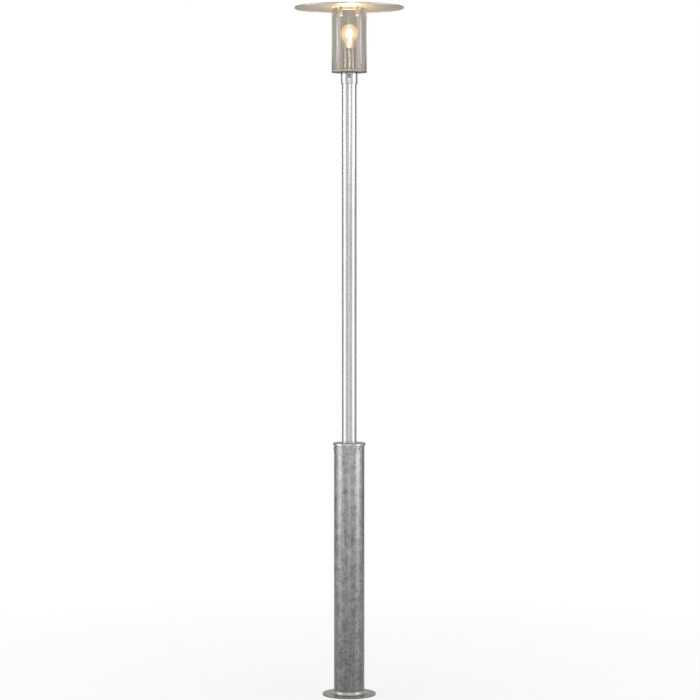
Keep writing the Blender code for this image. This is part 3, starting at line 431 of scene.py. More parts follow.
def on_tube(outline, radius):
    """Outline of (x, z) points laid on the rear of a tube: y = sqrt(r^2 - x^2)."""
    return np.stack([outline[:, 0], np.sqrt(radius ** 2 - outline[:, 0] ** 2), outline[:, 1]], -1)


def rear(radius, turn, height):
    """Points at a radius, a turn from the rear (+Y) towards +X, and a height."""
    return polar(radius, np.pi / 2 - turn, height)


column_bore = 0.047
door_half = 0.032
door_low = 0.260
door_high = 0.540
door_corner = 0.008
column_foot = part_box("column_tube")[0].z
column_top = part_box("column_tube")[1].z
wide = np.radians(62.0)
field_low = 0.22
field_high = 0.58
field = rectangle(wide, field_low, field_high, 0.0)
quarter = np.linspace(0.0, np.pi / 2, 4)
lip = 0.0006
ways = [(column_radius - lip * (1 - np.cos(a)), lip * (1 - np.sin(a))) for a in quarter]
ways += [(column_bore + lip * (1 - np.cos(a)), lip * (1 - np.sin(a))) for a in quarter[::-1]]


def doorway(margin):
    """The doorway's outline, widened by a margin."""
    return rectangle(door_half + margin, door_low - margin, door_high + margin, door_corner + margin)


def wall_patch(radius):
    """Wall from the edge of a field round the doorway in to the doorway, blended in turn and height."""
    door = doorway(lip)
    door = np.stack([np.arcsin(door[:, 0] / radius), door[:, 1]], -1)
    share = np.linspace(0.0, 1.0, 7)[:, None, None]
    spot = field + (door - field) * share
    return rear(radius, spot[..., 0], spot[..., 1])


column_zinc = zinc("column_zinc", (0.45, 0.45, 0.445), (0.165, 0.165, 0.162), 0.34, crystals=0.45, clouds=1.2,
                   runs=1.0, ground_dulling_and_weld_highlight=(0.05, 0.80, (0.56, 0.56, 0.55)), relief=0.18)
front = np.linspace(wide, 2 * np.pi - wide, 97)
full = np.concatenate([wide * (2 * crowded(24) - 1), front[1:]])
heights = field_low + (field_high - field_low) * crowded(40)[:, None]
foot_band = np.array([(column_radius, field_low), (column_radius, column_foot), (column_bore, column_foot),
                      (column_bore, field_low)])
top_band = np.array([(column_radius, field_high), (column_radius, column_top), (column_bore, column_top),
                     (column_bore, field_high)])
reveal = np.stack([on_tube(doorway(margin), radius) for radius, margin in ways])
grids = [wall_patch(column_radius), reveal, wall_patch(column_bore)]
grids += [rear(radius, front, heights) for radius in (column_radius, column_bore)]
grids += [rear(band[:, :1], full, band[:, 1:]) for band in (foot_band, top_band)]
column = mesh_piece("service_column", grids, column_zinc)
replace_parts(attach(column, "post"), "column_tube")


# Pole: slim galvanised pipe, brighter than the column, that stands in the column's cap and in a flat ring
# that centres its foot. Both are cut square with their edges broken.

pole_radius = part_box("pole_tube")[1].x
pole_bore = 0.02155
pole_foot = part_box("pole_tube")[0].z
pole_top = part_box("pole_tube")[1].z


def ring(inner, outer, low, high, edge):
    """Closed profile of a ring with its four edges rounded."""
    corners = [(inner, high, edge), (outer, high, edge), (outer, low, edge), (inner, low, edge)]
    return closed(soften(corners, 5))


pole_zinc = zinc("pole_zinc", (0.58, 0.58, 0.575), (0.36, 0.36, 0.355), 0.25, crystals=0.2, clouds=0.35,
                 runs=0.9, relief=0.05)
pole_profile = ring(pole_bore, pole_radius, pole_foot, pole_top, edge=0.0006)
pole = mesh_piece("pole", [turned(pole_profile)], pole_zinc)
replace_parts(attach(pole, "post"), "pole_tube")
low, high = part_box("pole_foot_ring")
profile = ring(pole_radius + seat_gap, high.x, low.z, high.z, edge=0.0008)
foot_ring = mesh_piece("pole_foot_ring_plate", [turned(profile)], pole_zinc)
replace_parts(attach(foot_ring, "post"), "pole_foot_ring")


# Column cap: a turned galvanised disc with a full round rim. Its spigot fits in the column, held by three
# screws, and the pole is welded where it comes through.

cap_thick = 0.0085
cap_under = column_top + seat_gap
cap_face = cap_under + cap_thick
cap_bore = pole_radius + seat_gap
cap_weld = 0.004
cap_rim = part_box("column_cap")[1].x
spigot = column_bore - seat_gap
spigot_bore = spigot - 0.004
spigot_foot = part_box("column_cap")[0].z
outline = soften([(cap_bore + cap_weld, cap_face, 0.0), (cap_rim, cap_face, 0.0026),
                  (cap_rim, cap_under, 0.0016), (spigot, cap_under, 0.0), (spigot, spigot_foot, 0.0008),
                  (spigot_bore, spigot_foot, 0.0008), (spigot_bore, cap_under, 0.001),
                  (cap_bore, cap_under, 0.0)], 8)
bore_wall = np.array([(cap_bore, cap_under), (cap_bore, cap_face + cap_weld)])
cap_zinc = zinc("cap_zinc", (0.54, 0.54, 0.525), (0.28, 0.28, 0.272), 0.26, crystals=0.3, clouds=0.9,
                runs=0.2, relief=0.12, sheen=0.85)
cap = mesh_piece("column_cap_disc", [polar(outline[:, :1], around, outline[:, 1:]),
                                     polar(bore_wall[:, :1], around, bore_wall[:, 1:]),
                                     weld_bead(cap_bore, cap_weld, cap_face, cap_weld, ripples=34)], cap_zinc)
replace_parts(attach(cap, "post"), "column_cap")


# Cap screws: three zinc-plated button-head screws through the column's wall into the spigot, each with a
# hexagon socket for the key.


def placed(grid, origin, out):
    """The grid with its own Z laid along a direction, its X upwards, and its origin moved to a point."""
    out = np.asarray(out, float)
    up = np.array([0.0, 0.0, 1.0]) if abs(out[2]) < 0.9 else np.array([1.0, 0.0, 0.0])
    side = np.cross(out, up)
    return np.asarray(origin) + grid[..., :1] * up + grid[..., 1:2] * side + grid[..., 2:] * out


def hexagon(flat, turn):
    """Radius of a hexagon: half its width across flats, over the cosine of the turn from a flat's middle."""
    return flat / np.cos((turn + np.pi / 6) % (np.pi / 3) - np.pi / 6)


def button_screw(head, height, key, shank, length):
    """Grid of a screw along +Z, head up. Its outline is turned: a shank, a flat seat and a crown that is a
    quarter of an ellipse. The key's hexagon is sunk in the crown."""
    turn = np.linspace(0.0, 2 * np.pi, 73)
    arc = np.linspace(0.0, np.pi / 2, 9)
    mouth = 1.35 * key
    crown = np.stack([mouth + (head - mouth) * np.cos(arc), height * (0.35 + 0.65 * np.sin(arc))], -1)
    edge = 0.06 * head
    body = np.vstack([[(0.0, -length), (shank - edge, -length), (shank, -length + edge), (shank, 0.0),
                       (head - edge, 0.0), (head, edge)], crown])
    flat = hexagon(key, turn)
    radius = np.vstack([body[:, :1] * np.ones_like(turn), 1.04 * flat, flat, flat, 0 * turn])
    floor_depth = 0.45 * height
    up = np.concatenate([body[:, 1], [height, height - 0.05 * head, floor_depth, 0.85 * floor_depth]])
    return polar(radius, turn, up[:, None])


def plated(name, light, dark, rough):
    """Bright zinc plating: small blotches from a dark to a light tone, and a fine satin grain."""
    material, start = new_material(name)
    place = start.add("TexCoord", out="Object")
    blotch = noise(place, 240.0, 6.0, 0.6)
    grain = noise(place, 2200.0, 2.0)
    tone = 1.5 * (blotch - 0.5) + 0.35 * (grain - 0.5) + 0.5
    bump = dented(0.3, 0.0001, 0.7 * blotch + 0.3 * grain)
    return finish(material, {"Base Color": start.mix(tone, (*dark, 1.0), (*light, 1.0)), "Metallic": 1.0,
                             "Roughness": rough + 0.25 * (blotch - 0.5), "Normal": bump})


screw_zinc = plated("screw_zinc", (0.55, 0.56, 0.57), (0.25, 0.26, 0.28), 0.28)
cap_screw_level = column_top - 0.009
screw_grid = button_screw(head=0.0045, height=0.0025, key=0.0015, shank=0.0024, length=0.0078)
for number, angle in enumerate((-45.0, 75.0, 195.0), start=1):
    out = polar(1.0, np.radians(angle), 0.0)
    seat = out * (column_radius + seat_gap) + (0.0, 0.0, cap_screw_level)
    screw = mesh_piece(f"cap_socket_screw_{number}", [placed(screw_grid, seat, out)], screw_zinc)
    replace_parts(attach(screw, "post"), f"cap_screw_{number}")


# Service door: a piece of the same tube, flush in its doorway, with two strap hinges welded on. The fixed
# eyes of the hinges are welded to the column, and a rubber frame inside the wall seals the gap.


def slab(low, high, corner, edge, axis=2):
    """Grid of a block: its round-cornered outline is stacked along an axis, drawn in by edge (1 - sin t) at
    both ends, and closed to a line across each end face."""
    u, v = [k for k in range(3) if k != axis]
    half = (high[u] - low[u]) / 2
    t = np.linspace(0.0, np.pi / 2, 5)
    middle_line = [min(half, (high[v] - low[v]) / 2)]
    draw_in = edge * (1 - np.sin(t))
    inset = np.concatenate([middle_line, draw_in, draw_in[::-1], middle_line])
    rise = edge * (1 - np.cos(t))
    height = np.concatenate([[low[axis]], low[axis] + rise, high[axis] - rise[::-1], [high[axis]]])
    outlines = np.stack([rectangle(half - d, low[v] + d, high[v] - d, max(corner - d, 0.0), 16, 16)
                         for d in inset])
    grid = np.empty((*outlines.shape[:2], 3))
    grid[..., u] = outlines[..., 0] + (low[u] + high[u]) / 2
    grid[..., v] = outlines[..., 1]
    grid[..., axis] = height[:, None]
    return grid


door_gap = 0.0012
door_inset = (door_half - door_gap) * np.array([1.0, 0.85, 0.7, 0.55, 0.4, 0.25, 0.12])
eye_length = 0.015
hinge_x = -0.0377
hinge_y = 0.03908
knuckle = 0.004
pin_bore = 0.0022
strap_low = 0.03962
strap_high = 0.04262
strap_end = -0.0258


def door_outline(inset, radius):
    """The door's outline, drawn in by an inset, on a tube of a radius."""
    gap = door_gap + inset
    outline = rectangle(door_half - gap, door_low + gap, door_high - gap, max(door_corner - gap, 0.0))
    return on_tube(outline, radius)


rows = [door_outline(d, column_radius) for d in door_inset]
rows += [door_outline(d, r) for r, d in ways]
rows += [door_outline(d, column_bore) for d in door_inset[::-1]]
grids = [np.stack(rows)]
eye = turned(ring(pin_bore, knuckle, 0.0, eye_length, edge=0.0005), 48) + (hinge_x, hinge_y, 0.0)
for height in (0.305, 0.495):
    strap_start = (hinge_x, strap_low, height)
    strap_stop = (strap_end, strap_high, height + eye_length)
    grids.append(slab(strap_start, strap_stop, corner=0.0006, edge=0.0008))
    grids.append(eye + (0.0, 0.0, height))
door = mesh_piece("service_door", grids, column_zinc)
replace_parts(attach(door, "door"), "door_panel")

hinge_steel = plated("hinge_steel", (0.62, 0.61, 0.60), (0.36, 0.355, 0.35), 0.24)
pin_head_rise = 0.031
pin_screw = button_screw(head=0.0032, height=0.0020, key=0.0010, shank=0.0019, length=0.0305)
for where, height in (("lower", 0.2895), ("upper", 0.4795)):
    fixed_eye = mesh_piece("hinge_eye_" + where, [eye + (0.0, 0.0, height)], column_zinc)
    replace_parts(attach(fixed_eye, "post"), "hinge_knuckle_" + where)
    pin_grid = pin_screw + (hinge_x, hinge_y, height + pin_head_rise)
    pin = mesh_piece("hinge_dowel_" + where, [pin_grid], hinge_steel)
    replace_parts(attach(pin, "post"), "hinge_pin_" + where)

seal_overlap = 0.004
seal_edge = 0.0006
seal_outer = column_bore - seat_gap
seal_inner = seal_outer - 0.0017
corners = [(-seal_overlap, seal_outer, seal_edge), (seal_overlap, seal_outer, seal_edge),
           (seal_overlap, seal_inner, seal_edge), (-seal_overlap, seal_inner, seal_edge)]
rows = [on_tube(doorway(margin), radius) for margin, radius in closed(soften(corners, 5))]
seal = mesh_piece("door_seal_frame", [np.stack(rows)], black_rubber)
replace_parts(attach(seal, "post"), "door_seal")


# Door lock: a round stainless housing through the door, and a spindle with a three-sided key end outside and
# a flat cam inside that turns behind the column's wall.


def brushed(name, light, dark, rough, lines, bare=1.0):
    """Metal with the fine lines of a belt or lathe: noise squeezed along the lines' direction. Bare is how
    metallic it is."""
    material, start = new_material(name)
    place = start.add("TexCoord", out="Object")
    drawn = stretched(place, lines)
    line = noise(drawn, 1.0, 4.0, 0.6)
    smear = noise(place, 60.0, 5.0)
    tone = 0.9 * (line - 0.5) + 0.8 * (smear - 0.5) + 0.5
    bump = dented(0.2, 0.0001, line)
    return finish(material, {"Base Color": start.mix(tone, (*dark, 1.0), (*light, 1.0)), "Metallic": bare,
                             "Roughness": rough + 0.2 * (line - 0.5) + 0.15 * (smear - 0.5), "Normal": bump})


lock_steel = brushed("lock_steel", (0.62, 0.61, 0.59), (0.36, 0.355, 0.345), 0.25, (900.0, 900.0, 30.0))
lock_side = 0.4
lock_level = 0.400
lock_out = np.array([lock_side, np.sqrt(1 - lock_side ** 2), 0.0])
lock_place = lock_out * column_radius + (0.0, 0.0, lock_level)
lock_turn = np.linspace(0.0, 2 * np.pi, 73)
barrel = 0.00655
barrel_end = -0.0112
barrel_pitch = 0.001
barrel_swing = 0.00015
barrel_bore = 0.0043
rim_edge = 0.0090
rim_face = 0.0028
key_floor = 0.0018
thread_rows = np.linspace(barrel_end, 0.0002, 60)[:, None]
thread_wave = np.sin(2 * np.pi * thread_rows / barrel_pitch - lock_turn)
thread = polar(barrel + barrel_swing * thread_wave, lock_turn, thread_rows)
rim_rows = soften([(0.0067, seat_gap, 0.0), (rim_edge, seat_gap, 0.0003), (rim_edge, rim_face, 0.0009),
                   (0.0055, rim_face, 0.0003), (0.0052, key_floor, 0.0003), (barrel_bore, key_floor, 0.0)], 5)
bore_rows = np.array([(barrel_bore, key_floor), (barrel_bore, barrel_end), (barrel, barrel_end)])
housing_grid = np.concatenate([polar(bore_rows[:, :1], lock_turn, bore_rows[:, 1:]), thread,
                               polar(rim_rows[:, :1], lock_turn, rim_rows[:, 1:])])
housing = mesh_piece("lock_barrel", [placed(housing_grid, lock_place, lock_out)], lock_steel)
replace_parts(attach(housing, "door"), "lock_housing")

cam_back = -0.01366
cam_face = -0.01166
cam_half = 0.005
cam_reach = 0.022
spindle_radius = 0.0040
key_corner = 0.0031
key_blunt = 0.0028
key_side = key_corner * np.cos(np.pi / 3) / np.cos(lock_turn % (2 * np.pi / 3) - np.pi / 3)
key_side = np.minimum(key_side, key_blunt)
round_rows = np.array([(0.0, cam_back), (spindle_radius - 0.0004, cam_back),
                       (spindle_radius, cam_back + 0.0004), (spindle_radius, -0.0001),
                       (spindle_radius - 0.0003, 0.0002)])
radius = np.vstack([round_rows[:, :1] * np.ones_like(lock_turn), key_side, key_side, 0.9 * key_side,
                    0 * lock_turn])
rise = np.concatenate([round_rows[:, 1], [0.0002, 0.0012, 0.0015, 0.0015]])[:, None]
cam = slab((-cam_reach, -cam_half, cam_back), (cam_half, cam_half, cam_face), corner=0.004, edge=0.0004)
grids = [polar(radius, lock_turn, rise), cam]
spindle = mesh_piece("lock_key_spindle", [placed(grid, lock_place, lock_out) for grid in grids], lock_steel)
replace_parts(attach(spindle, "lock"), "lock_spindle")


# Equipment board: a strip of galvanised sheet across the inside of the column, opposite the door. It carries
# the terminals, the cable's saddle and the earth stud.

low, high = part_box("equipment_board")
board_zinc = zinc("board_zinc", (0.58, 0.58, 0.57), (0.38, 0.385, 0.38), 0.25, crystals=0.8, clouds=0.4,
                  runs=0.2)
board = mesh_piece("equipment_strip", [slab(low, high, corner=0.004, edge=0.0006, axis=1)], board_zinc)
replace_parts(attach(board, "post"), "equipment_board")


# Terminals: three moulded grey ways side by side, each with a screw well on the door's side. The lamp's cable
# goes in at the top and the earth lead below.


def plastic(name, light, dark, rough):
    """Moulded plastic: a fine spark-eroded grain and slight flow marks."""
    material, start = new_material(name)
    place = start.add("TexCoord", out="Object")
    flow = noise(place, 55.0, 4.0)
    grain = noise(place, 2600.0, 2.0)
    color = start.mix(1.4 * (flow - 0.5) + 0.5 * (grain - 0.5) + 0.5, (*dark, 1.0), (*light, 1.0))
    bump = dented(0.25, 0.0001, grain)
    return finish(material, {"Base Color": color, "Normal": bump,
                             "Roughness": rough + 0.2 * (flow - 0.5) + 0.1 * (grain - 0.5)})


def terminal_way(low, high, well, depth):
    """Grid of one way: a rounded block along +Y whose front outline is drawn in to a round well with a
    floor."""
    block = slab(low, high, corner=0.0012, edge=0.0008, axis=1)[:-1]
    middle = (np.asarray(low) + high) / 2
    middle[1] = high[1]
    out = block[-1] - middle
    out[:, 1] = 0.0
    out = out / np.linalg.norm(out, axis=1, keepdims=True)
    bevel = 0.0004
    wall = np.array([(well + bevel, 0.0), (well, bevel), (well, depth), (0.0, depth)])
    sunk = wall[:, 1:, None] * np.array([0.0, 1.0, 0.0])
    return np.concatenate([block, middle + wall[:, :1, None] * out - sunk])


low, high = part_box("terminal_block")
terminal_grey = plastic("terminal_grey", (0.42, 0.43, 0.44), (0.33, 0.34, 0.35), 0.5)
edges = np.linspace(low.x, high.x, 4)
grids = [terminal_way((left, low.y, low.z), (right, high.y, high.z), well=0.00275, depth=0.006)
         for left, right in zip(edges[:-1], edges[1:])]
terminals = mesh_piece("terminal_ways", grids, terminal_grey)
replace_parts(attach(terminals, "post"), "terminal_block")


# Cable saddle: a moulded strap of grey plastic that arches over the lamp's cable and holds it to the board.
# It lies flat on the board at both ends.


def band(inner, outer, low, high):
    """Closed grid between two curves in the XY plane, from a low to a high level."""
    loops = [(inner, low), (outer, low), (outer, high), (inner, high), (inner, low)]
    return np.stack([np.column_stack([curve, np.full(len(curve), level)]) for curve, level in loops])


low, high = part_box("cable_saddle")
board_face = low.y
strap_face = board_face + 0.0016
cable_y = -0.0284
arch_inner = 0.0039
arch_outer = 0.0053
arch_foot = 0.0058
lie = np.linspace(0.0, 1.0, 12)[:, None]
arch = np.linspace(np.pi, 0.0, 25)[:, None]


def strap_line(level, foot, radius):
    """Curve across the board: flat at a level as far as a foot, over the cable in a half circle, and flat
    again."""
    left = np.array((low.x, level)) + (np.array((-foot, level)) - (low.x, level)) * lie
    over = np.hstack([radius * np.cos(arch), cable_y + radius * np.sin(arch)])
    right = np.array((foot, level)) + (np.array((high.x, level)) - (foot, level)) * lie
    return np.vstack([left, over, right])


strap = band(strap_line(board_face, arch_inner, arch_inner), strap_line(strap_face, arch_foot, arch_outer),
             low.z, high.z)
ends = [np.stack([strap[[0, 1], k], strap[[3, 2], k]]) for k in (0, -1)]
saddle = mesh_piece("cable_strap", [strap] + ends, terminal_grey)
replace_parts(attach(saddle, "post"), "cable_saddle")


# Earth connection: a plated stud welded to the board, a brass ring lug on it under a hexagon nut, and a short
# green lead from the lug to the terminals.


def threaded(radius, low, high, pitch, depth, columns=48):
    """Grid of a screw thread along Z: radius less a depth that swings once each pitch and turn."""
    turn = np.linspace(0.0, 2 * np.pi, columns + 1)
    rise = np.linspace(low, high, max(int((high - low) / pitch * 8), 8))[:, None]
    return polar(radius - depth * (0.5 + 0.5 * np.sin(2 * np.pi * rise / pitch - turn)), turn, rise)


def capped(grid):
    """The grid, closed at its first and last row to the middle of each."""
    ends = [np.broadcast_to(row[:-1].mean(0), row.shape)[None] for row in (grid[0], grid[-1])]
    return np.concatenate([ends[0], grid, ends[1]])


def hex_nut(corner, height, bore):
    """Grid of a hexagon nut along Z: its radius is the smaller of the hexagon and of a flat cone at each
    end."""
    turn = np.linspace(0.0, 2 * np.pi, 73)
    flat = corner * np.cos(np.pi / 6)
    drop = np.array([0.0, 0.04, 0.08, 0.13, 0.2, 0.5, 0.8, 0.87, 0.92, 0.96, 1.0])[:, None] * height
    cone = 0.96 * flat + np.minimum(drop, height - drop) * np.sqrt(3)
    wall = polar(np.minimum(hexagon(flat, turn), cone), turn, drop)
    bevel = 0.0004
    hole = polar(np.array([[bore + bevel], [bore], [bore], [bore + bevel]]), turn,
                 np.array([[height], [height - bevel], [bevel], [0.0]]))
    return np.concatenate([wall, hole, wall[:1]])


earth_level = 0.290
earth_place = (0.0, board_face, earth_level)
forward = (0.0, 1.0, 0.0)
stud_radius = 0.003
flange_thick = 0.0015
nut_rise = 0.0045
stud_flange = turned([(0.0, 0.0), (0.0056, 0.0), (0.006, 0.0004), (0.006, 0.0011), (0.0056, flange_thick),
                      (stud_radius, flange_thick)], 48)
stud_thread = threaded(stud_radius, low=flange_thick, high=0.016, pitch=0.001, depth=0.0003)
stud = mesh_piece("earth_screw_stud", [placed(grid, earth_place, forward)
                                       for grid in (stud_flange, capped(stud_thread))], screw_zinc)
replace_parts(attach(stud, "post"), "earth_stud")
nut_bore = 0.0031
nut_place = (0.0, board_face + nut_rise, earth_level)
nut_grid = placed(hex_nut(corner=0.00575, height=0.005, bore=nut_bore), nut_place, forward)
nut = mesh_piece("earth_hex_nut", [nut_grid], screw_zinc)
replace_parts(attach(nut, "post"), "earth_nut")
contact_brass = brushed("contact_brass", (0.72, 0.52, 0.24), (0.45, 0.30, 0.12), 0.26, (300.0, 300.0, 300.0))
lug_profile = ring(inner=nut_bore, outer=0.006, low=0.0018, high=0.0042, edge=0.0004)
lug_grid = placed(turned(lug_profile, 48), earth_place, forward)
lug = mesh_piece("earth_ring_lug", [lug_grid], contact_brass)
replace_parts(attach(lug, "post"), "earth_lug")


def along_path(path, radius, columns=24):
    """Grid of a round wire along a path that never runs along X: each section lies across the path's tangent,
    with one axis square to +X."""
    tangent = np.gradient(path, axis=0)
    tangent = tangent / np.linalg.norm(tangent, axis=1, keepdims=True)
    first = np.cross(tangent, np.array([1.0, 0.0, 0.0]))
    first = first / np.linalg.norm(first, axis=1, keepdims=True)
    second = np.cross(tangent, first)
    turn = np.linspace(0.0, 2 * np.pi, columns + 1)[None, :, None]
    return path[:, None] + radius * (first[:, None] * np.cos(turn) + second[:, None] * np.sin(turn))


lead_start = np.array([0.0, -0.0307, 0.2963])
lead_end = np.array([0.012, -0.0247, 0.3627])
lead_rise = np.array([0.0, 0.0, (lead_end[2] - lead_start[2]) / 2])
t = np.linspace(0.0, 1.0, 41)[:, None]
lead_path = (lead_start * (1 - t) ** 3 + 3 * (lead_start + lead_rise) * t * (1 - t) ** 2
             + 3 * (lead_end - lead_rise) * t ** 2 * (1 - t) + lead_end * t ** 3)
lead_green, start = new_material("earth_green")
facing = start.add("SeparateXYZ", None, {0: start.add("TexCoord", out="Normal")}, out="X")
stripe = start.math("GREATER_THAN", start.math("ABSOLUTE", facing), 0.62)
place = start.add("TexCoord", out="Object")
scuff = noise(place, 400.0, 4.0)
base = start.mix(stripe, (0.03, 0.20, 0.05, 1.0), (0.62, 0.52, 0.03, 1.0))
worn = start.mix(0.5 * scuff - 0.1, base, (0.22, 0.24, 0.18, 1.0))
bump = dented(0.15, 0.0001, scuff)
finish(lead_green, {"Base Color": worn, "Roughness": 0.35 + 0.3 * scuff, "Normal": bump})
lead = mesh_piece("earth_wire", [capped(along_path(lead_path, radius=0.0011))], lead_green)
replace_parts(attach(lead, "post"), "earth_lead")


# Lamp cable: a round black-sheathed cable, held all the way from the terminals through the saddle and up the
# middle of the pole into the lamp holder.

cable_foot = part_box("lamp_cable")[0].z
cable_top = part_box("lamp_cable")[1].z
cable_leaves = 0.482
cable_up = np.concatenate([np.linspace(cable_foot, cable_leaves, 12),
                           np.linspace(cable_leaves, pole_foot, 50)[1:],
                           np.linspace(pole_foot, cable_top, 60)[1:]])
share = np.clip((cable_up - cable_leaves) / (pole_foot - cable_leaves), 0.0, 1.0)
cable_path = np.stack([0 * share, cable_y * (1 - share ** 2 * (3 - 2 * share)), cable_up], -1)
cable_black, start = new_material("cable_black")
place = start.add("TexCoord", out="Object")
drawn = stretched(place, (900.0, 900.0, 25.0))
line = noise(drawn, 1.0, 4.0)
dust = noise(place, 160.0, 5.0)
dusty = start.mix(1.5 * (dust - 0.5) + 0.4, (0.012, 0.012, 0.013, 1.0), (0.045, 0.044, 0.042, 1.0))
bump = dented(0.15, 0.0002, line)
finish(cable_black, {"Base Color": dusty, "Roughness": 0.42 + 0.3 * (dust - 0.5) + 0.15 * (line - 0.5),
                     "Normal": bump})
cable = mesh_piece("lamp_lead", [capped(along_path(cable_path, radius=0.0035, columns=32))], cable_black)
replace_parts(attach(cable, "post"), "lamp_cable")


# Lantern collar: a short plated tube that slips over the pole's top and carries the lantern's base. One
# hexagon bolt at the front clamps it.

low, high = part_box("head_collar")
collar_bore = pole_radius + seat_gap
collar_zinc = plated("collar_zinc", (0.62, 0.625, 0.63), (0.30, 0.305, 0.315), 0.25)
profile = closed(soften([(collar_bore, high.z, 0.0004), (high.x, high.z, 0.0006), (high.x, low.z, 0.0015),
                         (collar_bore, low.z, 0.0005)]))
collar = mesh_piece("lantern_collar", [turned(profile)], collar_zinc)
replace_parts(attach(collar, "post"), "head_collar")

low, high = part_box("clamp_bolt")
bolt_height = 0.0053
bolt_shank = 0.004
bolt_tip = -0.0032
bolt_seat = (0.0, -0.0277, (low.z + high.z) / 2)
head_wall = hex_nut(corner=high.x, height=bolt_height, bore=bolt_shank)[:11]
head_face = 0 * head_wall[-1:] + (0.0, 0.0, bolt_height)
shank_grid = turned([(0.0, bolt_tip), (bolt_shank - 0.0002, bolt_tip), (bolt_shank, bolt_tip + 0.0002),
                     (bolt_shank, 0.0)], 72)
bolt_grid = placed(np.concatenate([shank_grid, head_wall, head_face]), bolt_seat, (0.0, -1.0, 0.0))
bolt_steel = plated("bolt_steel", (0.36, 0.38, 0.42), (0.13, 0.14, 0.17), 0.3)
bolt = mesh_piece("collar_hex_bolt", [bolt_grid], bolt_steel)
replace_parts(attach(bolt, "post"), "clamp_bolt")


# Lantern base: a round galvanised plate on the collar with a rubber grommet for the cable, and a flat ring
# of clear silicone under the cylinder's edge.

low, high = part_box("head_plate")
plate_hole = 0.009
# Painted shade: this plate's zinc is painted much darker than the other zinc, for its shaded underside seen
# from below.
painted_shade_base_zinc = zinc("painted_shade_base_zinc", (0.30, 0.29, 0.27), (0.13, 0.125, 0.115), 0.3, crystals=0.4, clouds=0.8,
                 runs=0.2, sheen=0.6)
profile = ring(plate_hole, high.x, low.z, high.z, edge=0.0007)
base = mesh_piece("lantern_base", [turned(profile)], painted_shade_base_zinc)
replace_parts(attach(base, "post"), "head_plate")
low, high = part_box("plate_grommet")
cable_bore = 0.0039
profile = bush(bore=cable_bore, body=plate_hole - seat_gap, lip=high.x, low=low.z, sheet=low.z + 0.003,
               top=high.z)
plate_bush = mesh_piece("lantern_bush", [turned(profile, 72)], black_rubber)
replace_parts(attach(plate_bush, "post"), "plate_grommet")
low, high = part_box("glass_gasket")
clear_silicone, start = new_material("clear_silicone")
place = start.add("TexCoord", out="Object")
milk = noise(place, 120.0, 4.0)
milky = start.mix(1.6 * (milk - 0.5) + 0.5, (0.62, 0.60, 0.56, 1.0), (0.82, 0.80, 0.76, 1.0))
bump = dented(0.1, 0.0003, milk)
finish(clear_silicone, {"Base Color": milky, "Roughness": 0.32 + 0.3 * (milk - 0.5), "Normal": bump,
                        "Transmission Weight": 0.75, "IOR": 1.41})
gasket_bore = 0.0536
gasket_edge = 0.0007
profile = ring(gasket_bore, high.x, low.z, high.z, gasket_edge)
gasket = mesh_piece("cylinder_gasket", [turned(profile)], clear_silicone)
gasket.visible_shadow = False
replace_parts(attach(gasket, "post"), "glass_gasket")


# Holder dish: a pressed stainless dish, upside down on the base, with a screw at each side and the lamp
# holder in the middle.

low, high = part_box("holder_dish")
dish_sheet = 0.0015
dish_wall = high.x - dish_sheet
dish_under = high.z - dish_sheet
bright_steel = brushed("bright_steel", (0.74, 0.72, 0.69), (0.50, 0.485, 0.46), 0.2, (500.0, 500.0, 900.0))
profile = soften([(cable_bore, high.z, 0.0004), (high.x, high.z, 0.0022), (high.x, low.z, 0.0005),
                  (dish_wall, low.z, 0.0005), (dish_wall, dish_under, 0.0012),
                  (cable_bore, dish_under, 0.0004)], 7)
dish = mesh_piece("holder_base_dish", [turned(closed(profile))], bright_steel)
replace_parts(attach(dish, "post"), "holder_dish")
dish_screw = button_screw(head=0.00375, height=0.0028, key=0.0014, shank=0.0019, length=0.0123)
upward = (0.0, 0.0, 1.0)
for side, across in (("left", -0.035), ("right", 0.035)):
    screw_seat = (across, 0.0, high.z + seat_gap)
    screw = mesh_piece("dish_fixing_" + side, [placed(dish_screw, screw_seat, upward)], bolt_steel)
    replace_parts(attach(screw, "post"), "dish_screw_" + side)


# Lamp holder: a glazed ceramic body in a plain stainless sleeve. Its rolled brass shell takes the bulb's
# screw cap, over a springy centre contact.

low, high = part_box("lampholder_body")
socket_wall = 0.0152
socket_floor = low.z + 0.034
cable_end = low.z + 0.012
glaze, start = new_material("ceramic_glaze")
place = start.add("TexCoord", out="Object")
speck = noise(place, 500.0, 3.0)
pool = noise(place, 70.0, 3.0)
tone = 1.6 * (pool - 0.5) + 0.6 * (speck - 0.5) + 0.5
cream = start.mix(tone, (0.66, 0.63, 0.57, 1.0), (0.80, 0.78, 0.73, 1.0))
bump = dented(0.12, 0.0002, pool)
finish(glaze, {"Base Color": cream, "Roughness": 0.18 + 0.2 * pool, "Normal": bump})
profile = soften([(0.0, socket_floor, 0.0), (socket_wall, socket_floor, 0.0012),
                  (socket_wall, high.z, 0.0006), (high.x, high.z, 0.0009), (high.x, low.z, 0.0008),
                  (cable_bore, low.z, 0.0006), (cable_bore, cable_end, 0.0), (0.0, cable_end, 0.0)])
holder = mesh_piece("holder_ceramic_body", [turned(profile, 96)], glaze)
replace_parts(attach(holder, "post"), "lampholder_body")

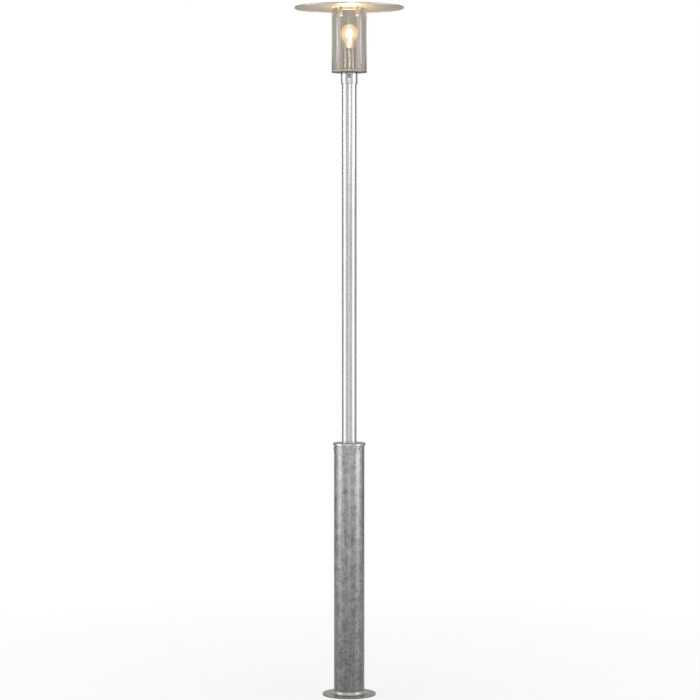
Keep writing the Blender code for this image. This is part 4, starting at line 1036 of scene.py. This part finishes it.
low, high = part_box("lampholder_shell")
thread_pitch = 0.00362
shell_outer = 0.01475
shell_inner = 0.01435
turn = np.linspace(0.0, 2 * np.pi, 97)
rise = np.linspace(low.z, high.z, 81)[:, None]
roll = 0.00015 * np.sin(2 * np.pi * rise / thread_pitch - turn)
outside = polar(shell_outer + roll, turn, rise)
inside = polar(shell_inner + roll, turn, rise)
shell_grid = np.concatenate([outside, inside[::-1], outside[:1]])
shell = mesh_piece("holder_brass_shell", [shell_grid], contact_brass)
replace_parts(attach(shell, "post"), "lampholder_shell")
low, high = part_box("lampholder_contact")
profile = [(0.0, low.z), (0.0046, low.z), (0.005, low.z + 0.0004), (0.0048, low.z + 0.0008),
           (0.003, high.z - 0.0001), (0.0, high.z)]
contact = mesh_piece("holder_centre_contact", [turned(profile, 48)], contact_brass)
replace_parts(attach(contact, "post"), "lampholder_contact")
low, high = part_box("holder_sleeve")
sleeve_sheet = 0.001
profile = ring(high.x - sleeve_sheet, high.x, low.z, high.z, edge=0.0004)
sleeve = mesh_piece("holder_steel_sleeve", [turned(profile)], bright_steel)
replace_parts(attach(sleeve, "post"), "holder_sleeve")


# Bulb: a clear golf-ball bulb with a rolled brass screw cap and its centre contact. The glass stem inside
# holds glowing strands that run up and down round the axis. The clear glass and the stem are given a faint
# painted glow of their own.

low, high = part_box("bulb_cap")
cap_outer = 0.0131
cap_inner = 0.0123
cap_end = 0.0053
cap_end_bore = 0.0035
taper_height = 0.005
plain_height = 0.004
thread_depth = 0.0007
fade_height = 0.002
rise = np.linspace(low.z, high.z, 101)[:, None]
taper = np.clip((rise - low.z) / taper_height, 0.0, 1.0)
roll = 0.5 + 0.5 * np.sin(2 * np.pi * rise / thread_pitch - turn)
fade_high = np.clip((high.z - plain_height - rise) / fade_height, 0.0, 1.0)
fade_low = np.clip((rise - low.z - taper_height) / fade_height, 0.0, 1.0)
swell = cap_end + (cap_outer - cap_end) * np.sin(taper * np.pi / 2)
skirt = polar(swell - thread_depth * roll * fade_high * fade_low, turn, rise)
inside = turned([(cap_inner, high.z), (cap_inner, low.z + 0.0075), (cap_end_bore, low.z + 0.0025),
                 (cap_end_bore, low.z), (cap_end, low.z)], 96)
cap_brass = brushed("cap_brass", (0.74, 0.62, 0.40), (0.50, 0.40, 0.24), 0.22, (400.0, 400.0, 400.0))
cap_shell = mesh_piece("bulb_screw_cap", [np.concatenate([skirt, inside])], cap_brass)
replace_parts(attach(cap_shell, "bulb"), "bulb_cap")
low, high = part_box("bulb_eyelet")
button = 0.005
button_top = low.z + 0.0012
rivet = 0.0030
profile = soften([(0.0, low.z, 0.0), (button, low.z, 0.0012), (button, button_top, 0.0003),
                  (rivet, button_top, 0.0), (rivet, high.z, 0.0004), (0.0, high.z, 0.0)])
eyelet = mesh_piece("bulb_centre_contact", [turned(profile, 48)], contact_brass)
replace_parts(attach(eyelet, "bulb_contact"), "bulb_eyelet")

low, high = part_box("bulb_envelope")
ball = 0.029
ball_middle = high.z - ball
neck = 0.0120
neck_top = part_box("bulb_cap")[1].z
wall = 0.0010


def bulb_profile(swell):
    """Outline of the bulb's glass, drawn in by a swell below nought: an arc of the ball from the top to 48
    degrees below its middle, a cubic curve with upright lower handle, and a straight neck."""
    arc = np.radians(np.linspace(90.0, -48.0, 60))
    points = np.stack([ball * np.cos(arc), ball_middle + ball * np.sin(arc)], -1)
    points[0, 0] = 0.0
    reach = np.hypot(points[-1, 0] - neck, points[-1, 1] - neck_top) / 3
    first = points[-1] + reach * np.array([np.sin(arc[-1]), -np.cos(arc[-1])])
    second = np.array([neck, neck_top + reach])
    t = np.linspace(0.0, 1.0, 21)[1:, None]
    curve = (points[-1] * (1 - t) ** 3 + 3 * first * t * (1 - t) ** 2 + 3 * second * t ** 2 * (1 - t)
             + np.array([neck, neck_top]) * t ** 3)
    outline = np.vstack([points, curve, [(neck, low.z)]])
    way = np.gradient(outline, axis=0)
    out = np.stack([-way[:, 1], way[:, 0]], -1) / np.linalg.norm(way, axis=1, keepdims=True)
    moved = outline + swell * out
    moved[0] = (0.0, outline[0, 1] + swell)
    moved[-1, 1] = low.z
    return moved


bulb_glass, start = new_material("bulb_clear_glass")
place = start.add("TexCoord", out="Object")
wave = noise(place, 35.0, 2.0)
warm = start.mix(2.0 * (wave - 0.5) + 0.5, (0.98, 0.93, 0.84, 1.0), (1.0, 0.98, 0.94, 1.0))
amber_painted_glow = start.mix(2.0 * (wave - 0.5) + 0.5, (1.0, 0.55, 0.30, 1.0), (1.0, 0.66, 0.42, 1.0))
bump = dented(0.05, 0.0005, wave)
# Painted glow: a faint amber emission on the clear glass.
finish(bulb_glass, {"Base Color": warm, "Roughness": 0.08 + 0.06 * wave, "Normal": bump,
                    "Transmission Weight": 1.0, "IOR": 1.45, "Emission Color": amber_painted_glow,
                    "Emission Strength": 0.15})
profile = np.vstack([bulb_profile(0.0), bulb_profile(-wall)[::-1]])
envelope = mesh_piece("bulb_clear_envelope", [turned(profile, 96)], bulb_glass, crease=70.0)
envelope.visible_shadow = False
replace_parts(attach(envelope, "bulb"), "bulb_envelope")

low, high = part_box("bulb_stem")
stem_glass, start = new_material("bulb_stem_glass")
place = start.add("TexCoord", out="Object")
wave = noise(place, 180.0, 3.0)
glow = start.mix(wave, (1.0, 0.62, 0.30, 1.0), (1.0, 0.80, 0.55, 1.0))
clear = start.mix(wave, (0.9, 0.86, 0.8, 1.0), (1.0, 1.0, 1.0, 1.0))
# Painted glow: the stem glass is given a warm emission of its own.
finish(stem_glass, {"Base Color": clear, "Roughness": 0.05 + 0.2 * wave, "Transmission Weight": 0.9,
                    "IOR": 1.5, "Emission Color": glow, "Emission Strength": 1.2})
stem_rod = 0.0023
flare_top = low.z + 0.0077
flare_edge = low.z + 0.0012
profile = soften([(0.0, high.z, 0.0), (stem_rod, high.z, 0.0012), (stem_rod, flare_top, 0.003),
                  (high.x, flare_edge, 0.0006), (high.x, low.z, 0.0003), (0.0, low.z, 0.0)])
stem = mesh_piece("bulb_glass_stem", [turned(profile, 48)], stem_glass)
stem.visible_shadow = False
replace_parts(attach(stem, "bulb"), "bulb_stem")

strands = 6
strand_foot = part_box("bulb_stem")[1].z + 0.00085
strand_low = np.array([0.0055, strand_foot + 0.006])
strand_high = np.array([0.0075, strand_foot + 0.026])
strand_gap = 0.0015
path_points = 361
middle = 2 * np.pi * (np.arange(strands) + 0.5) / strands
spread = np.pi / strands / 2
ends = np.stack([np.tile(strand_low, (strands, 1)), np.tile(strand_high, (strands, 1))], 1)
ends[1::2] = ends[1::2, ::-1]
turns = np.stack([middle - spread, middle + spread], 1)
knots = polar(ends[..., 0], turns, ends[..., 1]).reshape(-1, 3)
knots = np.vstack([(0.0, strand_gap, strand_foot), knots, (0.0, -strand_gap, strand_foot)])
steps = np.linalg.norm(np.diff(knots, axis=0), axis=1)
travel = np.concatenate([[0.0], np.cumsum(steps)])
even = np.linspace(0.0, travel[-1], path_points)
path = np.stack([np.interp(even, travel, knots[:, k]) for k in range(3)], -1)
soft = np.pad(path, ((3, 3), (0, 0)), mode="edge")
path = sum(soft[k:k + path_points] for k in range(7)) / 7
hot_wire, start = new_material("hot_wire")
place = start.add("TexCoord", out="Object")
flicker = noise(place, 300.0, 2.0)
wire = start.mix(flicker, (0.9, 0.6, 0.25, 1.0), (1.0, 0.85, 0.55, 1.0))
heat = start.mix(flicker, (1.0, 0.76, 0.48, 1.0), (1.0, 0.90, 0.72, 1.0))
finish(hot_wire, {"Base Color": wire, "Roughness": 0.5, "Emission Color": heat, "Emission Strength": 42.0})
strand_grid = capped(along_path(path, radius=0.00052, columns=12))
filament = mesh_piece("bulb_glowing_strands", [strand_grid], hot_wire)
filament.visible_shadow = False
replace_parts(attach(filament, "bulb"), "bulb_filament")
light_level = ball_middle - 0.001
lamp("bulb_light", "POINT", (0.0, 0.0, light_level), (1.0, 0.70, 0.40), 2.0, shadow_soft_size=0.012)


# Cylinder: a cast tube of smoke-grey acrylic with polished edges. It stands on the lower gasket, round the
# bulb and its holder.

low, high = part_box("glass_cylinder")
smoke, start = new_material("smoke_acrylic")
place = start.add("TexCoord", out="Object")
drawn = stretched(place, (60.0, 60.0, 6.0))
streak = noise(drawn, 1.0, 4.0)
film = noise(place, 30.0, 6.0)
tint = start.mix(1.6 * (streak - 0.5) + 0.5, (0.53, 0.50, 0.465, 1.0), (0.61, 0.58, 0.54, 1.0))
bump = dented(0.012, 0.0005, streak)
finish(smoke, {"Base Color": tint, "Roughness": 0.008 + 0.02 * film, "Normal": bump,
               "Transmission Weight": 1.0, "IOR": 1.49})
cylinder_bore = 0.054
profile = ring(cylinder_bore, high.x, low.z, high.z, edge=0.0005)
cylinder = mesh_piece("acrylic_cylinder", [turned(profile, 192)], smoke)
cylinder.visible_shadow = False
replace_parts(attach(cylinder, "post"), "glass_cylinder")


# Hat: a flat disc spun from galvanised sheet, with its edge turned down in a narrow lip. A flat gasket sits
# between it and the cylinder.

hat_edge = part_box("hat")[1].x
hat_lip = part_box("hat")[0].z
hat_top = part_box("hat")[1].z
hat_sheet = 0.0015
hat_seat = hat_top - hat_sheet
bend_start = hat_edge - 0.004
lip_inner = hat_edge - hat_sheet
screw_hole = 0.0033
reach = np.linspace(screw_hole, bend_start, 40)
outline = soften([(bend_start, hat_top, 0.0), (hat_edge, hat_top, 0.0016), (hat_edge, hat_lip, 0.0006),
                  (lip_inner, hat_lip, 0.0006), (lip_inner, hat_seat, 0.0007),
                  (bend_start, hat_seat, 0.0)], 7)
flat_top = np.stack([reach, np.full(40, hat_top)], -1)
flat_under = np.stack([reach[::-1], np.full(40, hat_seat)], -1)
hat_zinc = zinc("hat_zinc", (0.52, 0.50, 0.465), (0.36, 0.345, 0.32), 0.36, crystals=0.25, clouds=0.5,
                runs=1.1, outward=True, relief=0.06, bare=0.85, sheen=0.8, gloss=0.3)
profile = closed(np.vstack([flat_top, outline, flat_under]))
hat = mesh_piece("lantern_hat", [turned(profile, 288)], hat_zinc)
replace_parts(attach(hat, "hat"), "hat")
low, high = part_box("hat_gasket")
profile = ring(gasket_bore, high.x, low.z, high.z, gasket_edge)
gasket = mesh_piece("hat_flat_gasket", [turned(profile)], clear_silicone)
gasket.visible_shadow = False
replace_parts(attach(gasket, "hat"), "hat_gasket")


# Hat clip: a sprung stainless plate flat under the hat, whose six tongues press on the cylinder's bore. A
# turned boss clamps it, on a button-head screw through the hat with its hexagon nut sunk in the boss.

low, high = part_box("clip_plate")
clip_sheet = 0.001
clip_disc = 0.0481
tongue_half = 0.004
tongue_root = 0.046
tongue_bend = 0.0516
belly = 0.0532
belly_level = low.z + 0.010
sheet_middle = high.z - clip_sheet / 2
middle_line = soften([(0.040, sheet_middle, 0.0), (tongue_bend, sheet_middle, 0.0030),
                      (belly, belly_level, 0.0040), (tongue_bend, low.z, 0.0)], 9)[9:-8]
middle_line = np.vstack([[(tongue_root, sheet_middle)], middle_line])
way = np.gradient(middle_line, axis=0)
square = np.stack([-way[:, 1], way[:, 0]], -1) / np.linalg.norm(way, axis=1, keepdims=True)
across = square * clip_sheet / 2
leaf = np.vstack([middle_line + across, (middle_line - across)[::-1]])
leaf[:, 1] = np.clip(leaf[:, 1], low.z, high.z)
count = len(middle_line)
sheet = np.stack([np.column_stack([leaf[:, 0], np.full(len(leaf), side), leaf[:, 1]])
                  for side in (-tongue_half, tongue_half)])
sheet = np.concatenate([sheet, sheet[:, :1]], 1)
sides = [np.stack([row[:count], row[count:2 * count][::-1]]) for row in sheet]
grids = [turned(ring(screw_hole, clip_disc, high.z - clip_sheet, high.z, edge=0.0003), 144)]
for turn in np.radians(np.arange(0.0, 360.0, 60.0)):
    about = np.array([[np.cos(turn), np.sin(turn), 0.0], [-np.sin(turn), np.cos(turn), 0.0], [0.0, 0.0, 1.0]])
    grids += [grid @ about for grid in [sheet] + sides]
clip_steel = brushed("clip_steel", (0.86, 0.83, 0.78), (0.66, 0.63, 0.58), 0.3, (500.0, 500.0, 900.0),
                     bare=0.6)
clip = mesh_piece("hat_clip_spring", grids, clip_steel)
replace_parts(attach(clip, "hat"), "clip_plate")

low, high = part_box("hat_boss")
recess = 0.009
recess_roof = low.z + 0.006
profile = closed(soften([(screw_hole, high.z, 0.0), (high.x, high.z, 0.0006), (high.x, low.z, 0.0012),
                         (recess, low.z, 0.0006), (recess, recess_roof, 0.0004),
                         (screw_hole, recess_roof, 0.0)]))
boss = mesh_piece("hat_turned_boss", [turned(profile)], clip_steel)
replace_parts(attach(boss, "hat"), "hat_boss")
low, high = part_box("clip_nut")
nut_grid = hex_nut(corner=high.y, height=high.z - low.z, bore=screw_hole)
nut = mesh_piece("hat_clip_nut", [placed(nut_grid, (0.0, 0.0, low.z), upward)], screw_zinc)
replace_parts(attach(nut, "hat"), "clip_nut")
low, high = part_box("hat_screw")
head_seat = hat_top + seat_gap
screw_grid = button_screw(head=high.x, height=high.z - head_seat, key=0.0032, shank=0.0030,
                          length=head_seat - low.z)
screw = mesh_piece("hat_button_screw", [placed(screw_grid, (0.0, 0.0, head_seat), upward)], bright_steel)
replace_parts(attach(screw, "hat"), "hat_screw")
